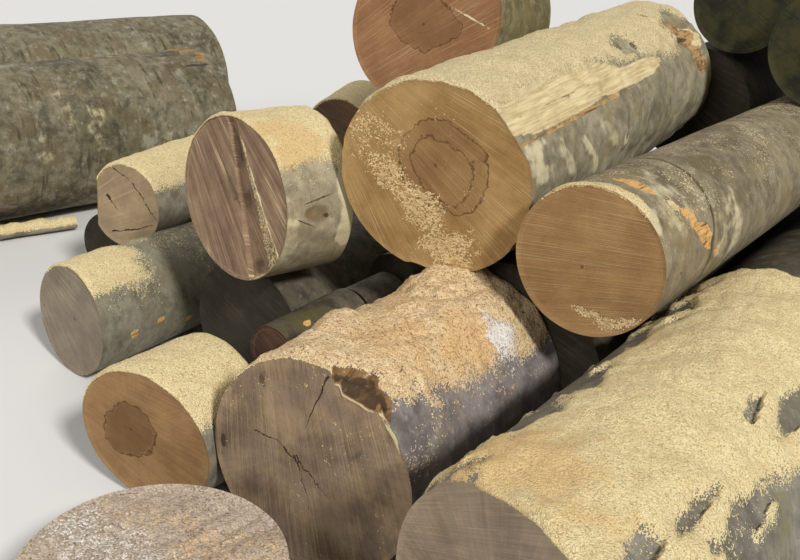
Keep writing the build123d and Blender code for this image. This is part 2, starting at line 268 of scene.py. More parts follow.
class Paint:
    """One material and the nodes in it."""

    def __init__(self, name: str) -> None:
        """Starts an empty material."""
        self.material = bpy.data.materials.new(name)
        self.material.use_nodes = True
        self.tree = self.material.node_tree
        self.tree.nodes.clear()
        self.place = self.node("ShaderNodeTexCoord").outputs["Object"]
        uv = self.node("ShaderNodeUVMap", {"uv_map": COORDINATES}).outputs["UV"]
        parts = self.node("ShaderNodeSeparateXYZ", None, {"Vector": uv}).outputs
        self.u = Field(self, parts["X"])
        self.v = Field(self, parts["Y"])

    def node(
        self, kind: str, settings: Optional[dict] = None, sockets: Optional[dict] = None
    ) -> bpy.types.Node:
        """Adds any node.

        Args:
            kind: Its type name.
            settings: Its own settings, which are set first.
            sockets: A value, a Field or a socket for each input, by name or number.

        Returns:
            The node.
        """
        made = self.tree.nodes.new(kind)
        for key, value in (settings or {}).items():
            setattr(made, key, value)
        for key, value in (sockets or {}).items():
            self.feed(made.inputs[key], value)
        return made

    def feed(self, socket: bpy.types.NodeSocket, value: Any) -> None:
        """Links a socket or sets its value.

        Args:
            socket: The input to feed.
            value: A Field or a socket to link, a number, or a colour as it looks on screen.
        """
        if isinstance(value, Field):
            value = value.socket
        if isinstance(value, bpy.types.NodeSocket):
            self.tree.links.new(value, socket)
        elif socket.type == "RGBA":
            socket.default_value = (*map(linear, value), 1.0)
        else:
            socket.default_value = value

    def math(self, operation: str, *values: Number) -> Field:
        """A Math node on one or two values."""
        made = self.node("ShaderNodeMath", {"operation": operation}, dict(enumerate(values)))
        return Field(self, made.outputs[0])

    def vector(self, x: Number, y: Number, z: Number = 0.0) -> bpy.types.NodeSocket:
        """A vector of three numbers."""
        return self.node("ShaderNodeCombineXYZ", None, {"X": x, "Y": y, "Z": z}).outputs[0]

    def cloud(
        self, scale: float, detail: float, rough: float, at: Optional[bpy.types.NodeSocket] = None
    ) -> Field:
        """Noise from 0 to 1, mostly near 0.5.

        Args:
            scale: Waves in a metre.
            detail: How many finer octaves it has.
            rough: How strong they are.
            at: The coordinates, which are the Object ones unless given.

        Returns:
            The noise.
        """
        spot = self.place if at is None else at
        made = self.node(
            "ShaderNodeTexNoise",
            None,
            {"Vector": spot, "Scale": scale, "Detail": detail, "Roughness": rough},
        )
        return Field(self, made.outputs[0])

    def streak(self, across: float, along: float, detail: float, rough: float) -> Field:
        """Noise on the surface's own coordinates, with a scale for each of the two."""
        return self.cloud(1.0, detail, rough, self.vector(self.u * across, self.v * along))

    def grains(self, size: float) -> tuple[Field, Field]:
        """Crisp grains of about a size in metres.

        Returns:
            A random number for each grain, and a height that falls from its middle.
        """
        made = self.node("ShaderNodeTexVoronoi", None, {"Vector": self.place, "Scale": 1.0 / size})
        parts = self.node("ShaderNodeSeparateColor", None, {"Color": made.outputs["Color"]})
        return Field(self, parts.outputs["Red"]), 1.0 - Field(self, made.outputs["Distance"])

    def attribute(self, name: str) -> Field:
        """A point attribute of the mesh."""
        made = self.node("ShaderNodeAttribute", {"attribute_name": name})
        return Field(self, made.outputs["Fac"])

    def spots(self, name: str, low: float, high: float, *frays: tuple[Field, float]) -> Field:
        """Where an attribute holds, with an edge that noise frays.

        Args:
            name: The attribute.
            low: The value at which a spot begins to show.
            high: The value at which it shows in full.
            frays: Noises from 0 to 1, each with how far it moves the edge.

        Returns:
            The share of the spots.
        """
        value = self.attribute(name)
        for fray, reach in frays:
            value = value + (fray - 0.5) * reach
        return value.ramp(low, high)

    def mix(
        self, share: Number, first: Hue, second: Hue, blend: str = "MIX"
    ) -> bpy.types.NodeSocket:
        """Mixes two colours.

        Args:
            share: 0 for the first colour, 1 for the second.
            first: The colour underneath.
            second: The colour on top.
            blend: How they are mixed.

        Returns:
            The socket of the mixed colour.
        """
        made = self.node(
            "ShaderNodeMix",
            {"data_type": "RGBA", "blend_type": blend, "clamp_factor": True},
            {0: share, 6: first, 7: second},
        )
        return made.outputs[2]

    def shade(self, hue: Hue, share: Number) -> bpy.types.NodeSocket:
        """Darkens or lightens a colour: it is multiplied by share."""
        grey = self.vector(share, share, share)
        return self.mix(1.0, hue, grey, "MULTIPLY")

    def finish(self, hue: Hue, rough: Number, height: Number, reach: float) -> bpy.types.Material:
        """Closes the material with one shader and a bump.

        Args:
            hue: Base colour.
            rough: Roughness.
            height: Height of the relief, 0 to 1.
            reach: Depth of the relief in metres.

        Returns:
            The material.
        """
        relief = {"Height": height, "Distance": reach, "Strength": 1.0}
        bump = self.node("ShaderNodeBump", None, relief)
        surface = self.node(
            "ShaderNodeBsdfPrincipled",
            None,
            {"Base Color": hue, "Roughness": rough, "Normal": bump.outputs[0]},
        )
        surface.inputs["Specular IOR Level"].default_value = GLOSS
        out = self.node("ShaderNodeOutputMaterial", None, {"Surface": surface.outputs[0]})
        out.is_active_output = True
        return self.material


@dataclass(frozen=True)
class Sawdust:
    """Sawdust: a bed of separate grains, each of its own tone, in soft drifts.

    Grain and chip are the sizes of its fine and coarse grains in metres, and speckle is how
    much the darkest of them stand out. Each grain is painted lighter at its middle and darker
    at its edges, as light and shade on its rounded top.
    """

    pale: Colour = (246, 228, 176)
    warm: Colour = (230, 204, 148)
    dark: Colour = (168, 142, 98)
    grain: float = 0.0024
    chip: float = 0.006
    speckle: float = 0.5

    def lay(self, paint: Paint, hue: Hue, height: Number) -> tuple[bpy.types.NodeSocket, Field]:
        """Lays sawdust over a surface, grain by grain, as its dust attribute says.

        Args:
            paint: The material.
            hue: Colour under the dust.
            height: Relief under the dust.

        Returns:
            The colour and relief with the dust.
        """
        fine, dome = paint.grains(self.grain)
        chip, lump = paint.grains(self.chip)
        drift = paint.cloud(14.0, 5.0, 0.6)
        scatter = fine * 0.5 + chip * 0.3 + drift * 0.6 - 0.7
        cover = (paint.attribute("dust") + scatter * 0.9).ramp(0.46, 0.54)
        toss = fine * 0.7 + chip * 0.3
        tone = paint.mix(toss.ramp(0.2, 0.7), self.warm, self.pale)
        tone = paint.mix((1.0 - toss.ramp(0.1, 0.28)) * self.speckle, tone, self.dark)
        tone = paint.mix(drift.ramp(0.48, 0.66) * 0.45, tone, self.warm)
        tone = paint.mix(paint.spots("warm", 0.3, 0.9, (fine, 1.2)) * 0.5, tone, AMBER)
        tone = paint.mix(paint.spots("snow", 0.25, 0.8, (fine, 0.7)) * 0.85, tone, SNOW)
        # Painted light and shade: each grain is lighter at its middle and darker at its edges by its
        # dome, and each chip by its lump. Fine adds each grain's own random tone.
        tone = paint.shade(tone, dome * 0.42 + fine * 0.14 + lump * 0.14 + 0.66)
        relief = dome + lump * 1.1 + 0.4
        return paint.mix(cover, hue, tone), height * (1.0 - cover) + relief * cover


AMBER = (228, 174, 102)
LICHEN = (196, 192, 176)
CREAM = (222, 208, 168)
WOOD_PALE = (220, 203, 158)
WOOD_WARM = (190, 166, 120)
WOOD_TORN = (112, 78, 44)
WOOD_RAW = (160, 124, 76)
WOOD_FRESH = (212, 164, 98)
DARK_WOOD = (54, 42, 33)
SNOW = (240, 238, 234)

DRY_DUST = Sawdust()
SOFT_DUST = Sawdust((234, 217, 170), (214, 192, 144), (160, 136, 96))
FACE_DUST = Sawdust((228, 200, 150), (200, 168, 118), (112, 86, 54), 0.0034, 0.008, 0.8)
TAN_DUST = Sawdust((236, 212, 170), (212, 174, 122), (122, 98, 70), 0.0032, 0.010, 0.75)
GREY_DUST = Sawdust((188, 174, 154), (170, 149, 127), (120, 104, 90), 0.0040, 0.012, 0.75)


@dataclass(frozen=True)
class Bark:
    """Smooth beech bark: grey, mottled, with wrinkles and dashes that run round the stem.

    Stained, lichen, moss and streaks are shares from 0 to 1. Flesh is the wood where it is
    torn.
    """

    name: str
    light: Colour
    dark: Colour
    stain: Colour = (122, 106, 76)
    stained: float = 0.4
    lichen: float = 0.3
    moss: float = 0.0
    moss_hue: Colour = (118, 116, 62)
    streaks: float = 0.25
    flesh: Colour = WOOD_FRESH
    dust: Sawdust = DRY_DUST

    def material(self) -> bpy.types.Material:
        """The bark, with torn wood, a saw score and sawdust where the attributes say."""
        paint = Paint(self.name)
        broad = paint.cloud(4.0, 4.0, 0.55)
        mottle = paint.cloud(24.0, 5.0, 0.6)
        wrinkle = paint.streak(9.0, 60.0, 5.0, 0.65)
        dash = paint.streak(34.0, 190.0, 2.0, 0.5)
        run = paint.streak(5.0, 26.0, 4.0, 0.6)
        speck = paint.cloud(260.0, 3.0, 0.65)
        hue = paint.mix((broad * 0.45 + mottle * 0.55).ramp(0.36, 0.62), self.dark, self.light)
        stain = paint.cloud(8.0, 6.0, 0.6).ramp(0.5, 0.64) * self.stained
        crust = paint.cloud(34.0, 6.0, 0.75).ramp(0.53, 0.72) * self.lichen
        bloom = paint.cloud(7.0, 8.0, 0.7).ramp(0.56, 0.68) * self.lichen * 0.8
        hue = paint.mix(stain, hue, self.stain)
        hue = paint.mix(run.ramp(0.55, 0.68) * self.streaks, hue, paint.shade(self.dark, 0.6))
        hue = paint.mix(crust, hue, LICHEN)
        hue = paint.mix(bloom, hue, LICHEN)
        hue = paint.mix(dash.ramp(0.64, 0.72) * 0.45, hue, DARK_WOOD)
        hue = paint.shade(hue, wrinkle * 0.45 + speck * 0.5 + 0.525)
        tuft = paint.cloud(11.0, 7.0, 0.72) * self.moss + paint.attribute("moss") * 0.6
        tuft = (tuft + (mottle - 0.5) * 0.7).ramp(0.42, 0.7)
        hue = paint.mix(tuft * 0.75, hue, paint.shade(self.moss_hue, speck * 0.9 + 0.55))
        height = wrinkle * 0.5 + mottle * 0.35 + speck * 0.15

        pale = paint.spots("pale", 0.25, 0.85, (mottle, 1.2), (wrinkle, 0.6))
        hue = paint.mix(pale * 0.7, hue, paint.shade(CREAM, speck * 0.6 + 0.7))

        grain = paint.streak(150.0, 6.0, 4.0, 0.6)
        fibre = paint.streak(60.0, 9.0, 4.0, 0.65)
        bare = paint.spots("bare", 0.44, 0.54, (mottle, 0.5), (grain, 0.3))
        wood = paint.mix((grain * 0.5 + fibre * 0.5).ramp(0.38, 0.62), WOOD_WARM, WOOD_PALE)
        hue = paint.mix(bare, hue, paint.shade(wood, grain * 0.3 + 0.85))
        torn = paint.spots("torn", 0.42, 0.54, (mottle, 1.1), (fibre, 0.8))
        sliver = paint.mix((fibre * 0.6 + mottle * 0.4).ramp(0.38, 0.54), WOOD_TORN, self.flesh)
        sliver = paint.mix(paint.cloud(60.0, 5.0, 0.7).ramp(0.56, 0.66) * 0.6, sliver, WOOD_PALE)
        sliver = paint.mix(1.0 - grain.ramp(0.3, 0.44), sliver, DARK_WOOD)
        hue = paint.mix(torn, hue, sliver)
        wound = torn.either(bare)
        height = height * (1.0 - wound) + (grain * 0.6 + fibre) * wound

        # Dark marks of the wood, and the painted shade that the stepped recess and the torn notch put in
        # the dark attribute.
        hue = paint.mix(paint.spots("dark", 0.42, 0.62, (mottle, 0.8)) * 0.8, hue, DARK_WOOD)
        score = 1.0 - abs(paint.attribute("score")).ramp(0.004, 0.009)
        hue = paint.mix(score * 0.75, hue, DARK_WOOD)
        hue, height = self.dust.lay(paint, hue, height)
        return paint.finish(hue, 0.85, height, BARK_RELIEF)


@dataclass(frozen=True)
class Crack:
    """A drying crack across a sawn end, from one point to another, in metres."""

    start: Pair
    stop: Pair
    width: float


@dataclass(frozen=True)
class SawnEnd:
    """A sawn end: rings round the pith, rays, strokes of the saw, a heart and a bark rim.

    The strokes run round a pivot that lies beside the face, as the bar of a saw swings.
    """

    name: str
    tone: Colour
    deep: Colour
    heart: Colour = (142, 96, 68)
    heart_share: float = 0.0
    outline: float = 0.9
    rim: Colour = (92, 78, 60)
    rim_width: float = 0.006
    pith: Pair = (0.0, 0.0)
    pivot: Pair = (-0.9, 0.5)
    strokes: float = 0.5
    fibres: float = 0.35
    rings: float = 0.2
    rays: float = 0.2
    grime: float = 0.0
    grime_hue: Colour = (110, 94, 84)
    cracks: tuple[Crack, ...] = ()
    dust: Sawdust = DRY_DUST

    def material(self) -> bpy.types.Material:
        """The sawn wood, with cracks by formula and sawdust where the attribute says."""
        paint = Paint(self.name)
        x, y = paint.u, paint.v
        from_x, from_y = x - self.pith[0], y - self.pith[1]
        reach = (from_x * from_x + from_y * from_y) ** 0.5
        wave = paint.cloud(7.0, 3.0, 0.5)
        ring = paint.cloud(1.0, 2.0, 0.6, paint.vector(reach * 210.0 + wave * 9.0, 0.0))
        spread = reach + 0.004
        fan = paint.vector(from_x / spread * 30.0, from_y / spread * 30.0, reach * 5.0)
        ray = paint.cloud(1.0, 4.0, 0.65, fan)
        swing_x, swing_y = abs(x - self.pivot[0]), y - self.pivot[1]
        along = (swing_x * swing_x + swing_y * swing_y) ** 0.5
        over = paint.math("ARCTAN2", swing_y, swing_x) * math.hypot(*self.pivot)
        stroke = paint.cloud(1.0, 3.0, 0.6, paint.vector(over * 420.0, along * 4.0))
        band = paint.cloud(1.0, 4.0, 0.6, paint.vector(over * 90.0, along * 2.0))
        mottle = paint.cloud(9.0, 7.0, 0.62)
        fleck = paint.cloud(330.0, 2.0, 0.6)
        hue = paint.mix((band * 0.3 + mottle * 0.7).ramp(0.34, 0.66), self.tone, self.deep)
        hue = paint.mix(stroke.ramp(0.56, 0.7) * self.fibres, hue, WOOD_PALE)
        hue = paint.mix(band.ramp(0.6, 0.72) * self.fibres * 0.6, hue, WOOD_PALE)

        waver = paint.cloud(30.0, 4.0, 0.6) - 0.5
        inside = paint.attribute("heart") + waver * 0.05
        inner = paint.attribute("line") + waver * 0.05
        blot = inside.ramp(-0.004, 0.010) * (mottle * 0.8 + 0.5) * self.heart_share
        hue = paint.mix(blot, hue, self.heart)
        line = 1.0 - paint.math("MINIMUM", abs(inside), abs(inner)).ramp(0.0006, 0.0034)
        line = line * self.outline * mottle.ramp(0.22, 0.5)
        hue = paint.mix(line, hue, paint.shade(self.heart, 0.55))
        if self.grime > 0.0:
            grime = paint.cloud(10.0, 6.0, 0.65).ramp(0.4, 0.62) * self.grime
            hue = paint.mix(grime, hue, self.grime_hue)
        light = stroke * self.strokes + ring * self.rings + ray * self.rays
        ground = 0.875 - 0.5 * (self.strokes + self.rings + self.rays)
        hue = paint.shade(hue, light + fleck * 0.25 + ground)
        height = stroke * (0.4 + self.strokes) + band * self.strokes * 0.5 + ring * 0.1 + ray * 0.1

        rim = paint.attribute("rim") + (paint.cloud(50.0, 4.0, 0.7) - 0.5) * 0.012
        bark = 1.0 - rim.ramp(self.rim_width * 0.6, self.rim_width * 1.1)
        bast = (1.0 - rim.ramp(self.rim_width * 1.2, self.rim_width * 2.6)) * 0.15
        hue = paint.mix(bast, hue, WOOD_WARM)
        hue = paint.mix(bark * 0.9, hue, paint.shade(self.rim, mottle + 0.5))
        split: Number = 0.0
        for crack in self.cracks:
            split = self.open_crack(paint, crack, split)
        centre = (1.0 - (reach + waver * 0.012).ramp(0.001, 0.006)) * 0.5
        split = centre.either(split)
        hue = paint.mix(split, hue, DARK_WOOD)
        hue = paint.mix((paint.attribute("bare") + waver).ramp(0.4, 0.6), hue, WOOD_PALE)
        torn = (paint.attribute("torn") + waver * 1.2).ramp(0.4, 0.6)
        hue = paint.mix(torn, hue, paint.mix(ray.ramp(0.4, 0.6), WOOD_TORN, WOOD_RAW))
        # Dark marks of the wood, and the painted shade that the stepped recess and the torn notch put in
        # the dark attribute.
        hue = paint.mix(paint.spots("dark", 0.42, 0.62, (mottle, 0.8)) * 0.75, hue, DARK_WOOD)
        height = height - split * 2.0
        hue, height = self.dust.lay(paint, hue, height)
        return paint.finish(hue, 0.75, height, END_RELIEF)

    def open_crack(self, paint: Paint, crack: Crack, split: Number) -> Field:
        """Adds one crack: dark within its width of a line, which tapers and wavers.

        The gap to the line is the distance to the nearest of its points: the start plus a
        share of the way to the stop, from 0 to 1.

        Args:
            paint: The material.
            crack: The crack.
            split: Where the cracks before it are open.

        Returns:
            Where this one is open too.
        """
        across = crack.stop[0] - crack.start[0]
        up = crack.stop[1] - crack.start[1]
        square = across * across + up * up
        waver = (paint.cloud(26.0, 3.0, 0.6) - 0.5) * 0.03
        from_x = paint.u - crack.start[0] + waver
        from_y = paint.v - crack.start[1] + waver
        share = (from_x * across + from_y * up) / square
        share = paint.math("MINIMUM", share.either(0.0), 1.0)
        gap_x = from_x - share * across
        gap_y = from_y - share * up
        gap = (gap_x * gap_x + gap_y * gap_y) ** 0.5
        width = (1.15 - share) * crack.width
        return (1.0 - (gap / width).ramp(0.35, 1.0)).either(split)


PLAIN_END = SawnEnd("plain_end", (160, 130, 94), (132, 104, 72), grime=0.3)


def dressed(finish: Union[Bark, SawnEnd]) -> bpy.types.Material:
    """The material of a finish, made once and shared by the logs that have it."""
    found = bpy.data.materials.get(finish.name)
    return found if found else finish.material()


class Mark(Enum):
    """What a patch puts on the skin of a log."""

    DUST = "dust"
    SWEPT = "swept"
    BARE = "bare"
    TORN = "torn"
    DARK = "dark"
    PALE = "pale"
    MOSS = "moss"
    WARM = "warm"
    SNOW = "snow"
    RELIEF = "relief"


# The attributes of a skin and what they say where nothing lies: no spots, outside the heart's
# outlines, and well away from the rim and from a saw score.
PLAIN_MARKS = {
    **dict.fromkeys(("bare", "torn", "dark", "pale", "moss", "warm", "snow", "dust"), 0.0),
    "heart": -1.0,
    "line": -1.0,
    "rim": 1.0,
    "score": 1.0,
}

Marks = dict[str, np.ndarray]


def plain_marks(shape: tuple[int, ...]) -> Marks:
    """The attributes of a part of a skin that nothing lies on."""
    return {name: np.full(shape, value) for name, value in PLAIN_MARKS.items()}


class Uneven(Enum):
    """A noise that shapes or frays a skin: its size in metres, its octaves and its seed.

    The seed is what it adds to that of the log, so no two noises of a log run together.
    """

    SWELL = (0.42, 3, 0)
    LUMPS = (0.09, 3, 3)
    FLUTES = (0.10, 3, 27)
    SIDE_EDGES = (0.05, 3, 7)
    DUST_EDGES = (0.16, 4, 21)
    STREWN = (0.12, 3, 37)
    HEAPS = (0.11, 4, 13)
    CLODS = (0.035, 3, 17)
    NOTCH = (0.025, 1, 41)
    END_EDGES = (0.04, 3, 5)
    END_DUST = (0.1, 3, 33)
    RIDGES = (0.16, 3, 9)
    BOW = (0.25, 2, 11)


@dataclass(frozen=True)
class Patch:
    """An oval spot with a ragged edge, on the side of a log or on the end that shows.

    On the side its place is a turn in degrees, 0 at the right and 90 on top, and a station
    along the log in metres. On the end it is x to the right and y up in metres.
    Its size is half its width and half its length, in metres, and lift moves the skin out.
    Share is how much of its mark it puts on, from 0 to 1, and turn slants it, in degrees.
    """

    mark: Mark
    place: Pair
    size: Pair
    turn: float = 0.0
    lift: float = 0.0
    ragged: float = 0.5
    share: float = 1.0

    def cover(self, across: np.ndarray, along: np.ndarray, rough: np.ndarray) -> np.ndarray:
        """1 inside the oval and 0 outside, eased over its edge.

        Args:
            across: Distance from the middle in metres, sideways.
            along: Distance from the middle in metres, lengthways.
            rough: Noise that frays the edge.

        Returns:
            The share of the patch at each point.
        """
        turn = math.radians(self.turn)
        side = across * math.cos(turn) + along * math.sin(turn)
        run = along * math.cos(turn) - across * math.sin(turn)
        oval = np.hypot(side / self.size[0], run / self.size[1])
        return 1.0 - smooth(oval + rough * self.ragged, 0.5, 1.3)

    def lay(self, marks: Marks, cover: np.ndarray) -> None:
        """Adds the patch to the attributes. A swept one takes dust away instead.

        Args:
            marks: The attributes, which are changed.
            cover: Where the patch lies, from 0 to 1.
        """
        name = self.mark.value
        if self.mark is Mark.SWEPT:
            marks["dust"] = marks["dust"] * (1.0 - cover * self.share)
        elif self.mark is not Mark.RELIEF:
            marks[name] = np.maximum(marks[name], cover * self.share)


@dataclass(frozen=True)
class Heart:
    """A dark heart: nested outlines about a middle, each as radii at even turns."""

    middle: Pair
    outlines: tuple[tuple[float, ...], ...]

    def inside(self, x: np.ndarray, y: np.ndarray, radii: tuple[float, ...]) -> np.ndarray:
        """Distance inside an outline, whose radius is eased between its given turns.

        Args:
            x: Place to the right on the sawn end, in metres.
            y: Place up on the sawn end.
            radii: Radii of the outline at even turns, from the right over the top.

        Returns:
            The radius there less the distance from the middle.
        """
        from_x, from_y = x - self.middle[0], y - self.middle[1]
        count = len(radii)
        spot = np.mod(np.arctan2(from_y, from_x) / (2.0 * math.pi) * count, count)
        low = np.floor(spot).astype(int) % count
        part = ease(spot - np.floor(spot))
        edges = np.array(radii)
        edge = edges[low] * (1.0 - part) + edges[(low + 1) % count] * part
        return edge - np.hypot(from_x, from_y)

    def marks(self, x: np.ndarray, y: np.ndarray) -> tuple[np.ndarray, np.ndarray]:
        """Distances inside the first outline and inside the last."""
        fields = [self.inside(x, y, radii) for radii in self.outlines]
        return fields[0], fields[-1]


@dataclass(frozen=True)
class Blanket:
    """Sawdust that lies on the upper side of a log.

    It lies where the skin faces up by more than steep, as far along as stop and fading over
    fade, and it is about as deep as depth. Patchy frays its edge and lumpy heaps it up. Grains
    are strewn on the rest of the side, by strewn.
    """

    depth: float = 0.010
    steep: float = 0.62
    stop: float = 9.0
    patchy: float = 0.12
    fade: float = 0.12
    lumpy: float = 0.7
    strewn: float = 0.14


@dataclass
class Stem:
    """One log, as a closed skin with two sawn ends.

    Diameter is that of the near end and length the distance between the middles of the ends,
    in metres. Turn and tilt are degrees from the lie of the heap and from level, and near_cut
    is how far the near cut is skewed and leans. Cell is the size of the skin's grid. Lumps,
    flutes and ridges are the heights of its unevenness, in metres.
    """

    node: str
    diameter: float
    length: float
    bark: Bark
    end: SawnEnd
    far_end: SawnEnd = PLAIN_END
    turn: float = 0.0
    tilt: float = 0.0
    near_cut: Pair = (0.0, 0.0)
    upright: bool = False
    cell: float = 0.012
    blanket: Optional[Blanket] = None
    heart: Optional[Heart] = None
    side_patches: tuple[Patch, ...] = ()
    end_patches: tuple[Patch, ...] = ()
    end_dust: float = 0.0
    lumps: float = 0.004
    flutes: float = 0.0
    ridges: float = PLAIN_RIDGES
    seed: int = 1
    place: np.ndarray = field(default_factory=lambda: np.zeros(3))

    def __post_init__(self) -> None:
        """Works out the log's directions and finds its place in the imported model."""
        self.axis = heading_vector(LIE + self.turn, self.tilt)
        if self.upright:
            self.axis = np.array([0.0, 0.0, 1.0])
        guide = np.array([0.0, 1.0, 0.0]) if self.upright else np.array([0.0, 0.0, 1.0])
        self.level = np.cross(self.axis, guide)
        self.level /= np.linalg.norm(self.level)
        self.up = np.cross(self.level, self.axis)
        self.thin = 0.0 if self.upright else TAPER / 2.0
        skew, lean = self.near_cut
        self.near_normal = -heading_vector(LIE + self.turn + skew, self.tilt + lean)
        if self.upright:
            self.near_normal = -self.axis
        circle = np.linspace(0.0, 360.0, RIM_SAMPLES)[None]
        rims = np.concatenate([self.bare_skin(circle, end) for end in (0.0, 1.0)])
        low, high = (np.array(corner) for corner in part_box(self.node))
        points = self.trim_rim(rims.reshape(-1, 3))
        here = np.array([points[:, 0].max(), points[:, 1].min(), points[:, 2].min()])
        self.place = np.array([high[0], low[1], low[2]]) - here

    def uneven(self, kind: Uneven, points: np.ndarray) -> np.ndarray:
        """One of the log's noises at points, from -1 to 1."""
        size, octaves, seed = kind.value
        return fractal(points, size, octaves, self.seed + seed)

    def trim_rim(self, points: np.ndarray) -> np.ndarray:
        """Rim points as the log's own cuts leave them. A plain log has none."""
        return points

    def out(self, turns: np.ndarray) -> np.ndarray:
        """Unit vectors square to the axis, at turns in degrees from the right over the top."""
        angle = np.radians(turns)[..., None]
        return np.cos(angle) * self.level + np.sin(angle) * self.up

    def stations(self, turns: np.ndarray, share: Union[float, np.ndarray]) -> np.ndarray:
        """Stations between the two saw cuts.

        The near rim is where the cone meets the plane of the near cut: the station s at which
        s a.n + (r - k s) o.n is 0, for the axis a, the outward way o, the cut's normal n, the
        radius r and the thinning k. The far rim is at the length.

        Args:
            turns: Turns round the log in degrees.
            share: 0 for the near rim, 1 for the far rim.

        Returns:
            Distances along the axis in metres.
        """
        out = self.out(turns)
        radius = self.diameter / 2.0
        start = -radius * (out @ self.near_normal)
        start = start / (self.axis @ self.near_normal - self.thin * (out @ self.near_normal))
        return start * (1.0 - share) + self.length * share

    def radius_at(self, station: np.ndarray) -> np.ndarray:
        """Radius of the plain cone at a station."""
        return self.diameter / 2.0 - self.thin * station

    def bare_skin(self, turns: np.ndarray, share: Union[float, np.ndarray]) -> np.ndarray:
        """Points of the plain cone: the axis at a station plus the radius there, outwards.

        Args:
            turns: Turns round the log in degrees.
            share: Where between the two cuts, 0 for the near rim and 1 for the far rim.

        Returns:
            The points.
        """
        station = self.stations(turns, share)
        reach = self.radius_at(station)
        return self.place + station[..., None] * self.axis + reach[..., None] * self.out(turns)

    def rows(self) -> np.ndarray:
        """Shares of the length at which the skin has its rows."""
        return np.linspace(0.0, 1.0, max(LEAST_ROWS, int(self.length / self.cell)) + 1)

    def build(self) -> bpy.types.Object:
        """Makes the log, dresses it and puts it in the place of its node."""
        around = max(LEAST_AROUND, int(math.pi * self.diameter / self.cell))
        rings = max(LEAST_RINGS, int(self.diameter / 2.0 / self.cell))
        side, marks = self.side(-90.0 + 360.0 * np.arange(around) / around)
        near, near_marks = self.sawn(side[0], rings, True)
        far, far_marks = self.sawn(side[-1], max(LEAST_FAR_RINGS, rings // 2), False)
        skin = Skin(self.node + "_log", side, near, far)
        for name in marks:
            skin.paint(name, marks[name], near_marks[name], far_marks[name])
        skin.unwrap(self)
        piece = skin.piece((dressed(self.bark), dressed(self.end), dressed(self.far_end)))
        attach(piece, BODY)
        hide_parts(self.node)
        return piece

    def side(self, turns: np.ndarray) -> tuple[np.ndarray, Marks]:
        """The skin between the rims: the cone, less its hollows, plus patches and sawdust.

        Slow swells and small lumps move the plain cone, then the lift of each patch under its
        cover, then the log's own cuts. Sawdust raises the result straight up.

        Args:
            turns: Turns round the log in degrees.

        Returns:
            Points by row and turn, and the attributes there.
        """
        share = self.rows()[:, None]
        grid = np.broadcast_to(turns, (len(share), len(turns)))
        station = self.stations(grid, share)
        points = self.bare_skin(grid, share)
        out = self.out(grid)
        rough = self.uneven(Uneven.SIDE_EDGES, points)
        swell = self.uneven(Uneven.SWELL, points) - 1.0
        offset = swell * self.lumps + self.uneven(Uneven.LUMPS, points) * self.lumps * 0.3
        if self.flutes:
            lane = np.stack([station, grid / 190.0, 0.0 * grid], -1)
            wave = self.uneven(Uneven.FLUTES, lane)
            offset = offset + self.flutes * np.minimum(wave * 1.6, 0.1)
        marks = plain_marks(grid.shape)
        marks["dust"] = self.drift(points, station, grid)
        marks["score"] = self.score_gap(station, grid)
        for patch in self.side_patches:
            around = turns_from(grid, patch.place[0]) * math.pi / 360.0 * self.diameter
            cover = patch.cover(around, station - patch.place[1], rough)
            offset = offset + patch.lift * cover
            patch.lay(marks, cover)
        dust = marks["dust"]
        offset = offset + self.cut_side(station, grid, marks)
        points = points + offset[..., None] * out
        if self.blanket:
            from_rim = np.minimum(share, 1.0 - share) * self.length
            heap = 1.0 + self.blanket.lumpy * self.uneven(Uneven.HEAPS, points)
            heap = heap + 0.5 * self.blanket.lumpy * self.uneven(Uneven.CLODS, points)
            depth = self.blanket.depth * np.clip(heap, 0.1, 3.0) * smooth(dust, 0.25, 0.9)
            depth = depth * smooth(from_rim + rough * 0.006, -0.008, 0.014)
            points[..., 2] += depth
        return points, marks

    def score_gap(self, station: np.ndarray, grid: np.ndarray) -> np.ndarray:
        """Distance from a saw score round the log. A plain log has none."""
        return np.ones(grid.shape)

    def cut_side(self, station: np.ndarray, grid: np.ndarray, marks: Marks) -> np.ndarray:
        """How far the log's own cuts move its side outwards. A plain log has none.

        Args:
            station: Distance along the axis of each point, in metres.
            grid: Turn of each point, in degrees.
            marks: The attributes there, which the cuts may change.

        Returns:
            The move of each point in metres.
        """
        return np.zeros(grid.shape)

    def drift(self, points: np.ndarray, station: np.ndarray, grid: np.ndarray) -> np.ndarray:
        """Where sawdust lies: on what faces up, as far as a station, with patchy edges.

        Args:
            points: Points of the side.
            station: Distance along the axis of each, in metres.
            grid: Turn of each, in degrees.

        Returns:
            How much lies there, from 0 to 1.
        """
        if self.blanket is None:
            return np.zeros(station.shape)
        lie = self.blanket
        faces_up = self.out(grid)[..., 2]
        fray = self.uneven(Uneven.DUST_EDGES, points) * lie.patchy
        dust = smooth(faces_up + fray, lie.steep - 0.1, lie.steep + 0.1)
        edge = station + fray * 0.6
        dust = dust * (1.0 - smooth(edge, lie.stop - lie.fade, lie.stop + lie.fade))
        scatter = 1.0 + self.uneven(Uneven.STREWN, points)
        return np.maximum(dust, lie.strewn * smooth(faces_up, -0.2, 0.7) * scatter)

